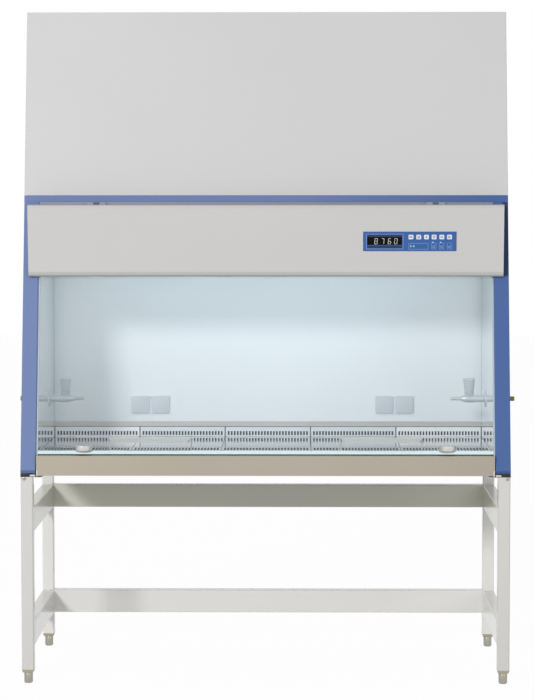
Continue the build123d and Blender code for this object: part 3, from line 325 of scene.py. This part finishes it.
rest_steel.shader.inputs["Metallic"].default_value = 0.35
dress("front_sill", apron_steel)
for node in ("tray_pair_left", "tray_middle", "tray_pair_right"):
    dress(node, tray_steel)
dress("rear_air_guide", strip_steel)
dress("spill_pan", pan_steel)
for node in ("armrest_left", "armrest_right"):
    dress(node, rest_steel)
print("steel on the sill, trays, strip, pan and armrests")

# %% [markdown]
# Safety glass is nearly invisible face on and mirrors at a grazing angle. A thin pane needs no
# refraction, so it is a mirror whose alpha grows with the Fresnel term, and only the face that
# is met first counts. A pane also takes a share of the lamps' light, which is read from the
# shadow rays. The sash has a pale cyan band along its lower edge, where one sees into the
# thickness of the glass.


# %% Glass
def pane(name, gloss, veil, dimming):
    """A pane and its alpha: Fresnel gloss, a thin veil, and the share of lamp light it takes."""
    finish = Finish(name, Roughness=0.03, Metallic=1.0)
    mirror = finish.node("ShaderNodeFresnel", inputs={"IOR": 1.45})
    second_face = finish.node("ShaderNodeNewGeometry", output="Backfacing")
    shading = finish.node("ShaderNodeLightPath", output="Is Shadow Ray")
    return finish, (mirror * gloss + veil) * (1.0 - second_face) + shading * dimming


side_glass, cover_alpha = pane("side_glass", 1.6, 0.05, 1.0)
side_glass.shader.inputs["Base Color"].default_value = colour("#F2F8FB")
side_glass.feed("Alpha", cover_alpha)
dress("side_windows", side_glass)
sash_glass, cover_alpha = pane("sash_glass", 0.9, 0.06, 0.09)
x, y, z = sash_glass.axes()
edge = z < 0.7645
sash_glass.feed("Base Color", sash_glass.blend(edge, colour("#DDECF2"), colour("#DFF5FA")))
sash_glass.feed("Alpha", cover_alpha + edge * 0.75)
dress("sash_glass", sash_glass)
print("glass:", side_glass.material.name, sash_glass.material.name)

# %% [markdown]
# The remaining solids are moulded plastic, rubber, cast iron, zinc and brass. Each has a base
# colour that drifts a little and a grain of its own.


# %% Mouldings, castings and metals
def moulded(name, code, roughness, grain=600, metal=0.0, strength=0.1, drift=0.06):
    finish = Finish(name, Roughness=roughness, Metallic=metal)
    deep = tuple(v * (1 - drift) for v in colour(code)[:3]) + (1.0,)
    finish.feed("Base Color", finish.blend(finish.noise(9, 3), colour(code), deep))
    finish.feed("Roughness", finish.noise(90, 2) * 0.1 + (roughness - 0.05))
    finish.relief(finish.noise(grain, 2), strength, 0.0003)
    return finish


finishes = {
    "leg_plugs": moulded("plug_beige", "#B9AE93", 0.55),
    "sash_seal": moulded("seal_rubber", "#3A352D", 0.7),
    "sash_guides": moulded("guide_grey", "#C6D2DB", 0.45),
    "sash_pulley_shaft": moulded("turned_alloy", "#B9BBBD", 0.3, 1500, 1.0),
    "sash_counterweight_left": moulded("cast_weight", "#4A4B4D", 0.7, 300, 0.6, 0.5),
    "sash_cables": moulded("cable_wire", "#8A8B8C", 0.4, 3000, 1.0, 0.4),
    # Painted shade: the hinges are dark grey so that they read as part of the shaded gap.
    "fascia_hinges": moulded("hinge_painted_shade", "#6A6C74", 0.6),
    "display_window": moulded("display_black", "#07070A", 0.3, 400, 0, 0.0),
    "lamp_tubes": moulded("lamp_opal", "#F1F4F6", 0.25),
    "lamp_reflector": moulded("reflector_alloy", "#DADCDD", 0.25, 900, 1.0),
    "supply_filter": moulded("filter_fleece", "#E2E1D6", 0.95, 150, 0, 0.6),
    "plenum_box": moulded("galvanised", "#9EA2A5", 0.45, 60, 0.8, 0.2),
    "fan_motor": moulded("motor_iron", "#3B3E42", 0.6, 400, 0.4, 0.3),
    "fan_impeller": moulded("impeller_alloy", "#A7AAAD", 0.4, 900, 1.0),
    "socket_flap_1": moulded("flap_grey", "#D5DBE2", 0.4),
}
finishes["sash_counterweight_right"] = finishes["sash_counterweight_left"]
finishes["exhaust_filter"] = finishes["supply_filter"]
for number in (2, 3, 4):
    finishes[f"socket_flap_{number}"] = finishes["socket_flap_1"]
finishes["display_window"].shader.inputs["Specular IOR Level"].default_value = 0.1
for node, finish in finishes.items():
    dress(node, finish)
print("moulded and cast:", len(finishes), "solids")

# %% [markdown]
# A gas tap is coated grey inside the chamber, and its tail outside is bare brass. Both are one
# solid, so the finish switches on the distance from the middle of the cabinet.

# %% Gas taps
tap_finish = Finish("tap_coat", Roughness=0.32)
x, y, z = tap_finish.axes()
reach = tap_finish.node("ShaderNodeMath", {"operation": "ABSOLUTE"}, {0: x})
outside = reach > 0.757
grey = tap_finish.blend(tap_finish.noise(30, 2), colour("#D6DEE3"), colour("#CAD3D8"))
tap_finish.feed("Base Color", tap_finish.blend(outside, grey, colour("#7A6638")))
tap_finish.feed("Metallic", outside * 0.75 + 0.25)
tap_finish.relief(tap_finish.noise(700, 1), 0.08, 0.0003)
dress("tap_bodies", tap_finish)
knob_finish = moulded("knob_grey", "#CCD5DB", 0.42)
handle_finish = moulded("handle_satin", "#CBC8C4", 0.34, 900, 0.6)
foot_finish = moulded("foot_zinc", "#A8A49A", 0.35, 800, 0.9)
print("taps:", tap_finish.material.name)

# %% [markdown]
# New pieces start as primitives and are shaped with the same operators as by hand. Before any
# operator runs, everything is deselected, because an operator acts on all that is selected.


# %% Bench tools for modelling
def clear():
    bpy.ops.object.select_all(action="DESELECT")


def finished(piece, name, finish, body):
    """Name a piece, fix its place in its mesh, and hand it to its body."""
    clear()
    piece.select_set(True)
    bpy.context.view_layer.objects.active = piece
    for modifier in list(piece.modifiers):
        bpy.ops.object.modifier_apply(modifier=modifier.name)
    bpy.ops.object.transform_apply(location=True, rotation=True, scale=True)
    piece.name = piece.data.name = name
    piece.data.materials.clear()
    piece.data.materials.append(finish.material)
    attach(piece, body)
    return piece


def slab(centre, size, turn=(0, 0, 0), soft=0.0003, steps=2):
    """A flat block with eased edges. Its size is given in metres."""
    clear()
    bpy.ops.mesh.primitive_cube_add(size=1, location=centre, rotation=turn)
    piece = bpy.context.object
    piece.scale = size
    bpy.ops.object.transform_apply(location=False, rotation=False, scale=True)
    bpy.ops.object.mode_set(mode="EDIT")
    bpy.ops.mesh.select_all(action="SELECT")
    bpy.ops.mesh.bevel(offset=soft, segments=steps, affect="EDGES")
    bpy.ops.object.mode_set(mode="OBJECT")
    bpy.ops.object.shade_smooth_by_angle(angle=math.radians(40))
    return piece


def turned(centre, rings, sides=48, turn=(0, 0, 0)):
    """A turned piece: a disc that is extruded ring by ring, each (height, radius) in metres."""
    clear()
    start_height, start_radius = rings[0]
    bpy.ops.mesh.primitive_circle_add(
        vertices=sides, radius=start_radius, fill_type="NGON", location=(0, 0, start_height)
    )
    piece = bpy.context.object
    bpy.ops.object.mode_set(mode="EDIT")
    bpy.ops.mesh.select_all(action="SELECT")
    height, radius = start_height, start_radius
    for next_height, next_radius in rings[1:]:
        move = {"value": (0, 0, next_height - height)}
        bpy.ops.mesh.extrude_region_move(TRANSFORM_OT_translate=move)
        ratio = next_radius / radius
        bpy.ops.transform.resize(value=(ratio, ratio, 1))
        height, radius = next_height, next_radius
    bpy.ops.mesh.select_all(action="SELECT")
    bpy.ops.mesh.normals_make_consistent(inside=False)
    bpy.ops.object.mode_set(mode="OBJECT")
    bpy.ops.object.transform_apply(location=True, rotation=False, scale=False)
    piece.location = centre
    piece.rotation_euler = turn
    bpy.ops.object.shade_smooth_by_angle(angle=math.radians(35))
    return piece


print("bench tools ready")

# %% [markdown]
# The sash is lifted by two round pulls. Each is a turned puck with soft rims, and its back is
# sliced flat along the glass. The slice is a bisect with the plane of the glass, which fills
# the cut and removes what lies behind.

# %% Sash pulls
pull_low, pull_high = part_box("sash_handles")
pull_middle = (pull_low.z + pull_high.z) / 2
rise = pull_middle - stand_height * mm
behind_posts = rise * math.tan(slope) + sash_recess * mm / math.cos(slope)
glass_face = post_foot + behind_posts
pull_radius = 0.0284
pull_place = pull_high.x - pull_radius - 0.0001
for side, x_place in (("left", -pull_place), ("right", pull_place)):
    height = pull_high.z - pull_low.z
    rim = 0.0025
    rings = [(-height / 2, pull_radius - rim)]
    for step in range(1, 6):
        angle = math.radians(18 * step)
        rings.append(
            (-height / 2 + rim * (1 - math.cos(angle)), pull_radius - rim * (1 - math.sin(angle)))
        )
    rings += [(-h, r) for h, r in reversed(rings)]
    puck = turned((x_place, glass_face - 0.006, pull_middle), rings, 72)
    clear()
    puck.select_set(True)
    bpy.ops.object.transform_apply(location=True, rotation=True, scale=True)
    bpy.ops.object.mode_set(mode="EDIT")
    bpy.ops.mesh.select_all(action="SELECT")
    bpy.ops.mesh.bisect(
        plane_co=(0, glass_face - 0.0002, pull_middle),
        plane_no=(0, math.cos(slope), -math.sin(slope)),
        use_fill=True,
        clear_outer=True,
    )
    bpy.ops.object.mode_set(mode="OBJECT")
    finished(puck, f"sash_pull_{side}", handle_finish, "sash")
    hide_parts("sash_handles")
print("pull radius", round(pull_radius * 1000, 1), "mm")

# %% [markdown]
# The tap knobs flare towards the top and have a softly domed cap, so they are turned as well.

# %% Tap knobs
for side in ("left", "right"):
    low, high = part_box(f"tap_knob_{side}")
    middle = (low + high) / 2
    tall = high.z - low.z
    profile = [
        (0.0, 0.0135), (0.0006, 0.0152), (0.0025, 0.0163), (0.012, 0.0172), (0.026, 0.0186),
        (0.036, 0.0202), (0.041, 0.0210), (0.0432, 0.0211), (0.0447, 0.0203), (0.0455, 0.0185),
        (tall, 0.012),
    ]
    knob = turned((middle.x, middle.y, low.z), profile, 56)
    finished(knob, f"tap_grip_{side}", knob_finish, f"knob_{side}")
    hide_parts(f"tap_knob_{side}")
print("knob height", round(tall * 1000, 1), "mm")

# %% [markdown]
# The tap itself is a brass casting with a coat. Its long axis lies across the cabinet, so one
# profile is turned about X, with the barbs as small cones, and a flared bonnet is turned upright.
# The two are joined, and the left tap is the same profile turned the other way.

# %% Gas tap bodies
tap_axis = place(0, 460, 900.5)
for side, sign in (("left", -1), ("right", 1)):
    profile = [(0.631, 0.0042)]
    for barb in range(3):
        start = 0.631 + barb * 0.0107
        profile += [(start + 0.0006, 0.0049), (start + 0.0095, 0.0062), (start + 0.0101, 0.0050)]
    profile += [
        (0.6632, 0.0056), (0.6665, 0.0078), (0.672, 0.0102), (0.679, 0.0122), (0.687, 0.0131),
        (0.696, 0.0134), (0.706, 0.0130), (0.716, 0.0121), (0.724, 0.0115), (0.7466, 0.0115),
        (0.747, 0.028), (0.7474, 0.0284), (0.7496, 0.0284), (0.7499, 0.028), (0.75, 0.0071),
        (0.8008, 0.0070), (0.801, 0.0078), (0.8484, 0.0080), (0.849, 0.0074),
    ]
    length = turned(tap_axis, profile, 40, (0, sign * math.pi / 2, 0))
    bonnet_rings = [
        (0.0, 0.0100), (0.006, 0.0118), (0.0112, 0.0134), (0.0165, 0.0152), (0.0205, 0.0166),
        (0.0232, 0.0171), (0.0238, 0.0160), (0.024, 0.0042), (0.050, 0.0040),
    ]
    bonnet = turned(tap_axis + Vector((sign * 0.694, 0, 0)), bonnet_rings, 40)
    clear()
    bonnet.select_set(True)
    length.select_set(True)
    bpy.context.view_layer.objects.active = length
    bpy.ops.object.join()
    finished(length, f"tap_body_{side}", tap_finish, "cabinet")
    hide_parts("tap_bodies")
print("tap axis height", tap_axis.z)

# %% [markdown]
# The socket flaps are moulded covers with generous corners. A block gets its four long edges
# rounded first, and then the rim of its face. Edges are picked by the way they run.


# %% Socket flaps
def cover(centre, size, corner, rim, steps=6):
    """A block whose edges along Y are rounded by one radius and whose front rim by another."""
    clear()
    bpy.ops.mesh.primitive_cube_add(size=1, location=centre)
    piece = bpy.context.object
    piece.scale = size
    bpy.ops.object.transform_apply(location=False, rotation=False, scale=True)
    bpy.ops.object.mode_set(mode="EDIT")
    bpy.ops.mesh.select_mode(type="EDGE")
    bpy.ops.mesh.select_all(action="DESELECT")
    bpy.ops.object.mode_set(mode="OBJECT")
    points = piece.data.vertices
    for edge in piece.data.edges:
        run = points[edge.vertices[0]].co - points[edge.vertices[1]].co
        edge.select = abs(run.y) > 0.9 * run.length
    bpy.ops.object.mode_set(mode="EDIT")
    bpy.ops.mesh.bevel(offset=corner, segments=steps, affect="EDGES")
    bpy.ops.mesh.select_all(action="DESELECT")
    bpy.ops.object.mode_set(mode="OBJECT")
    points = piece.data.vertices
    front = -size[1] / 2
    for edge in piece.data.edges:
        edge.select = all(abs(points[i].co.y - front) < 1e-6 for i in edge.vertices)
    bpy.ops.object.mode_set(mode="EDIT")
    bpy.ops.mesh.bevel(offset=rim, segments=3, affect="EDGES")
    bpy.ops.object.mode_set(mode="OBJECT")
    bpy.ops.object.shade_smooth_by_angle(angle=math.radians(35))
    return piece


flap_finish = finishes["socket_flap_1"]
for number in range(1, 5):
    low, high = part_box(f"socket_flap_{number}")
    middle = (low + high) / 2
    size = (high.x - low.x - 0.0050, high.y - low.y - 0.0002, high.z - low.z - 0.0002)
    flap = cover(middle, size, 0.0075, 0.0012)
    finished(flap, f"flap_cover_{number}", flap_finish, f"flap_{number}")
    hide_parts(f"socket_flap_{number}")
print("flap", [round(v * 1000, 1) for v in size], "mm")

# %% [markdown]
# The levelling feet are turned steel with a chamfer that meets the floor.

# %% Levelling feet
for place_name in ("front_left", "front_right", "rear_left", "rear_right"):
    low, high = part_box(f"levelling_foot_{place_name}")
    middle = (low + high) / 2
    profile = [
        (0.0, 0.0112), (0.0004, 0.0116), (0.003, 0.0141), (0.0036, 0.0143), (0.034, 0.0143),
        (0.0352, 0.0138), (0.0355, 0.0082), (0.0356, 0.008), (high.z, 0.008),
    ]
    foot = turned((middle.x, middle.y, 0), profile, 40)
    finished(foot, f"foot_{place_name}", foot_finish, f"foot_{place_name}")
    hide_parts(f"levelling_foot_{place_name}")
print("feet:", 4)

# %% [markdown]
# The control panel is a printed film. Its prints are thin slabs that lie in the plane of the
# fascia, which leans towards its lower edge. A helper turns a place on the film, in
# millimetres to the right and up, into a slab that stands a tenth of a millimetre proud.

# %% Film and its prints
film = moulded("panel_film", "#2A5CA2", 0.35, 500, 0, 0.04)
dress("display_panel", film)
key_finish = moulded("key_dome", "#E4E8F1", 0.35)
for number in range(1, 7):
    dress(f"display_key_{number}", key_finish)
print_line = moulded("print_pale", "#8FA9DD", 0.4)
print_mark = moulded("print_dark", "#4D5E8C", 0.4)
filter_dark = moulded("filter_dark", "#122350", 0.3, 400, 0, 0.0)
lamp_cyan = moulded("lamp_cyan", "#A7DDE6", 0.3)
lamp_dim = moulded("lamp_dim", "#2C56A0", 0.3)
digit_pale = moulded("digit_pale", "#E4E7D8", 0.4)
face_turn = (math.pi / 2 + lean, 0, 0)
face_up = Vector((0, math.sin(lean), -math.cos(lean))) * -1
face_out = Vector((0, -math.cos(lean), -math.sin(lean)))
panel_height = 1448.0
panel_depth = fascia_depth_high + (fascia_high - panel_height) * math.tan(lean)
panel_middle = place(472.5, panel_depth, panel_height)


def on_film(right, up, out):
    """A point on the film, from its middle, in millimetres."""
    return panel_middle + Vector((right * mm, 0, 0)) + face_up * (up * mm) + face_out * (out * mm)


def print_slab(name, right, up, wide, tall, finish, out=1.05, thick=0.2, spin=0.0, body="fascia"):
    turn = Matrix.Rotation(face_turn[0], 3, "X") @ Matrix.Rotation(spin, 3, "Z")
    piece = slab(
        on_film(right, up, out), (wide * mm, tall * mm, thick * mm), turn.to_euler(), 0.05 * mm, 1
    )
    return finished(piece, name, finish, body)


def joined(pieces, name):
    """Join small prints that share a finish into one piece."""
    clear()
    for piece in pieces:
        piece.select_set(True)
    bpy.context.view_layer.objects.active = pieces[0]
    bpy.ops.object.join()
    pieces[0].name = pieces[0].data.name = name
    return pieces[0]


def print_frame(name, right, up, wide, tall, line, finish):
    """A rectangular outline of four thin bars."""
    bars = [
        print_slab(name, right, up + tall / 2, wide, line, finish),
        print_slab(name, right, up - tall / 2, wide, line, finish),
        print_slab(name, right - wide / 2, up, line, tall, finish),
        print_slab(name, right + wide / 2, up, line, tall, finish),
    ]
    return joined(bars, name)


print_slab("display_filter_upper", -82.0, 18.6, 116, 7.8, filter_dark, 1.04, 0.1)
print_slab("display_filter_lower", -82.0, -17.8, 116, 8.4, filter_dark, 1.04, 0.1)
print_frame("display_outline", -82.0, -0.5, 120, 48.5, 1.3, print_line)
print("film middle", [round(v, 4) for v in panel_middle])

# %% [markdown]
# Four digits glow behind the window. Each digit is built from the seven bars of a display, and
# a table says which bars are lit. The bars lean like italic figures.

# %% Digits
lit_bars = {"8": "abcdefg", "7": "abc", "6": "acdefg", "0": "abcdef"}
bar_places = {
    "a": (0, 8.9, 7.0, 1.3), "d": (0, -8.9, 7.0, 1.3), "g": (0, 0, 6.6, 1.3),
    "b": (4.3, 4.5, 1.4, 8.2), "c": (4.3, -4.5, 1.4, 8.2),
    "e": (-4.3, -4.5, 1.4, 8.2), "f": (-4.3, 4.5, 1.4, 8.2),
}
for index, (figure, middle_x) in enumerate(zip("8760", (-110.5, -89.0, -66.3, -45.6))):
    bars = []
    for bar in lit_bars[figure]:
        right, up, wide, tall = bar_places[bar]
        italic = up * 0.12
        bars.append(
            print_slab(
                "bar", middle_x + right + italic, 0.6 + up, wide, tall, digit_pale, 1.02, 0.3
            )
        )
    joined(bars, f"digit_{index + 1}")
print("digits:", 4)

# %% [markdown]
# Each key carries a small dark sign, and below the keys are a row of lamps in a frame and three
# lamps with a sign of their own. The signs are simple shapes, as on any control panel.

# %% Keys, lamps and signs
key_centres = [3.8 + 25.2 * number for number in range(6)]
for number, right in enumerate(key_centres, 1):
    marks = []
    body = f"key_{number}"
    shapes = {
        1: [(0, 0, 9, 3.4, 0)],
        2: [(-2, 0, 1.8, 8, 0.2), (2, 0.5, 1.8, 7, -0.2), (0, -3.6, 6, 1.5, 0)],
        3: [(0, 0, 4.6, 4.6, 0.785)],
        4: [(-3, 0, 1.6, 7, 0), (3, 0, 1.6, 7, 0), (0, 3.5, 6, 1.4, 0), (0, -2.6, 3, 2, 0)],
        5: [(-3.2, 0, 1.6, 6, 0.35), (0, 0, 1.6, 6, -0.35), (3.2, 0, 1.6, 6, 0.35)],
        6: [(-2.4, 0, 2, 8, 0), (1.4, 2, 5, 1.6, -0.5), (1.4, -2, 5, 1.6, 0.5)],
    }[number]
    for dx, dy, wide, tall, spin in shapes:
        marks.append(
            print_slab("mark", right + dx, 14.6 + dy, wide, tall, print_mark, 1.62, 0.08, spin, body)
        )
    sign = joined(marks, f"key_sign_{number}")
print_frame("lamp_row_outline", 28.5, -16.0, 63, 19.5, 1.0, print_line)
for number in range(6):
    finish = lamp_cyan if number < 2 else lamp_dim
    print_slab(f"row_lamp_{number + 1}", 3.6 + 9.4 * number, -15.6, 3.6, 6.0, finish)
for number, right in enumerate((78.5, 104.5, 130.0), 1):
    print_frame(f"status_outline_{number}", right, -15.0, 15, 20, 0.9, print_line)
    if number < 3:
        print_slab(f"status_lamp_{number}", right - 3.4, -3.2, 5.0, 3.6, lamp_cyan, 1.08)
    marks = [
        print_slab("mark", right - 3, -17.0, 1.6, 7, print_line, spin=0.4 * number),
        print_slab("mark", right + 2, -15.0, 1.6, 8, print_line, spin=-0.3 * number),
        print_slab("mark", right, -21.0, 8, 1.5, print_line),
    ]
    joined(marks, f"status_sign_{number}")
print("keys:", len(key_centres))

# %% [markdown]
# Where each post meets the stand there is a black plug in its open end, a pale spacer beside it and the
# head of a bolt under it. A thin pale strip on the sill beside each post is a painted highlight, the
# bright line along the sill's bevelled end.

# %% Post ends
plug_black = moulded("plug_black", "#0C0C0E", 0.5)
pale_spacer_and_highlight = moulded("pale_spacer_and_highlight", "#DAD8CE", 0.5)
for side, sign in (("left", -1), ("right", 1)):
    plug = slab(place(sign * 784, 12, 688), (0.027, 0.02, 0.0105), soft=0.0006)
    finished(plug, f"post_plug_{side}", plug_black, "cabinet")
    spacer = slab(place(sign * 760, 10, 686.5), (0.0175, 0.02, 0.0055), soft=0.0005)
    finished(spacer, f"post_spacer_{side}", pale_spacer_and_highlight, "cabinet")
    # Painted highlight: a pale strip for the bright line on the sill's end.
    shine_strip = slab(place(sign * 745.5, 1.2, 694), (0.0045, 0.0012, 0.019), soft=0.0003)
    finished(shine_strip, f"sill_highlight_{side}", pale_spacer_and_highlight, "cabinet")
    rings = [(0, 0.0055), (0.003, 0.0058), (0.0034, 0.0052), (0.0035, 0.003)]
    bolt = turned(place(sign * 788, 0.2, 677), rings, 24, (math.pi / 2, 0, 0))
    finished(bolt, f"post_bolt_{side}", foot_finish, "cabinet")
print("post ends:", 2)

# %% [markdown]
# Between the fascia and the trim above it runs a narrow gap. A closing strip lies at its bottom, so
# that one doesn't look into the housing, and its grey-blue is painted shade, the colour of the gap in
# its shadow.

# %% Closing strip
# Painted shade: the strip's grey-blue is the colour of the shaded gap.
shade_strip_finish = moulded("gap_painted_shade", "#9A9CA6", 0.5)
strip_clearance = 2.6
strip_depth = (1572 - stand_height) * math.tan(slope) + strip_clearance
strip = slab(place(0, strip_depth, 1571.2), (1.4990, 0.0010, 0.0098), soft=0.0002)
finished(strip, "gap_strip", shade_strip_finish, "cabinet")
print("strip depth", round(strip_depth, 1), "mm")

# %% [markdown]
# The camera stands eight metres in front, a little above the worktop's height, with a long
# lens. A long lens keeps the tall front nearly parallel.

# %% Camera
camera_data = bpy.data.cameras.new("camera")
camera_data.lens = 2455.5 / 700 * 36
camera_data.sensor_width = 36
camera_data.clip_end = 60
camera = bpy.data.objects.new("camera", camera_data)
camera.location = place(113.5, -7958.4, 1616.5)
camera.rotation_euler = (math.pi / 2 - 0.0651, 0.0004, 0.0135)
bpy.context.scene.collection.objects.link(camera)
bpy.context.scene.camera = camera
print("lens", round(camera_data.lens, 1))

# %% [markdown]
# The studio is white. The world and the floor are white to the camera, to mirrors and through
# glass, and give a soft grey light to everything else. A soft lamp stands high on the front left,
# where it throws the shade of the fascia and the left post on the back wall. A weaker one stands
# front right, and a long faint lamp under the chamber's ceiling stands for the tubes.


# %% Studio
def soft_lamp(name, where, target, size, power):
    lamp = bpy.data.lights.new(name, "AREA")
    lamp.shape = "RECTANGLE"
    lamp.size, lamp.size_y = size
    lamp.energy = power
    holder = bpy.data.objects.new(name, lamp)
    holder.location = where
    aim = Vector(target) - Vector(where)
    holder.rotation_euler = aim.to_track_quat("-Z", "Y").to_euler()
    bpy.context.scene.collection.objects.link(holder)
    return holder


soft_lamp("key_lamp", (-4.25, -9.0, 4.6), (0, 0, 1.05), (1.7, 1.3), 470)
soft_lamp("fill_lamp", (4.2, -5.0, 2.4), (0, 0, 1.1), (3.0, 3.0), 48)
chamber_lamp = soft_lamp("chamber_lamp", place(0, 200, 1385), place(0, 639, 1000), (1.44, 0.08), 1.7)
chamber_lamp.data.color = (0.78, 0.93, 1.0)
chamber_lamp.visible_camera = False
chamber_lamp.visible_glossy = False
chamber_lamp.visible_transmission = False

world = bpy.data.worlds.new("studio")
bpy.context.scene.world = world
world.use_nodes = True
tree = world.node_tree
background = tree.nodes["Background"]
background.inputs["Color"].default_value = (1, 1, 1, 1)
path = tree.nodes.new("ShaderNodeLightPath")
seen = tree.nodes.new("ShaderNodeMath")
seen.operation = "MAXIMUM"
tree.links.new(path.outputs["Is Camera Ray"], seen.inputs[0])
tree.links.new(path.outputs["Is Glossy Ray"], seen.inputs[1])
seen_through = tree.nodes.new("ShaderNodeMath")
seen_through.operation = "MAXIMUM"
tree.links.new(seen.outputs[0], seen_through.inputs[0])
tree.links.new(path.outputs["Is Transmission Ray"], seen_through.inputs[1])
level = tree.nodes.new("ShaderNodeMapRange")
level.inputs["To Min"].default_value = 0.4
level.inputs["To Max"].default_value = 1.0
tree.links.new(seen_through.outputs[0], level.inputs["Value"])
tree.links.new(level.outputs["Result"], background.inputs["Strength"])

clear()
bpy.ops.mesh.primitive_plane_add(size=30, location=(0, 4, 0))
floor = bpy.context.object
floor.name = "studio_floor"
floor_finish = Finish("studio_white", Roughness=0.9)
floor_finish.shader.inputs["Base Color"].default_value = (0.9, 0.9, 0.9, 1)
tree = floor_finish.tree
glow = tree.nodes.new("ShaderNodeEmission")
glow.inputs["Color"].default_value = (1, 1, 1, 1)
mixer = tree.nodes.new("ShaderNodeMixShader")
to_camera = floor_finish.node("ShaderNodeLightPath", output="Is Camera Ray")
to_mirror = floor_finish.node("ShaderNodeLightPath", output="Is Glossy Ray")
to_clear = floor_finish.node("ShaderNodeLightPath", output="Is Transmission Ray")
largest = {"operation": "MAXIMUM"}
seen_floor = floor_finish.node("ShaderNodeMath", largest, {0: to_camera, 1: to_mirror})
seen_floor = floor_finish.node("ShaderNodeMath", largest, {0: seen_floor, 1: to_clear})
tree.links.new((seen_floor * 0.975).socket, mixer.inputs[0])
tree.links.new(floor_finish.shader.outputs[0], mixer.inputs[1])
tree.links.new(glow.outputs[0], mixer.inputs[2])
tree.links.new(mixer.outputs[0], tree.nodes["Material Output"].inputs["Surface"])
floor.data.materials.append(floor_finish.material)
bpy.context.scene.view_settings.view_transform = "Standard"
print("lamps:", 3)
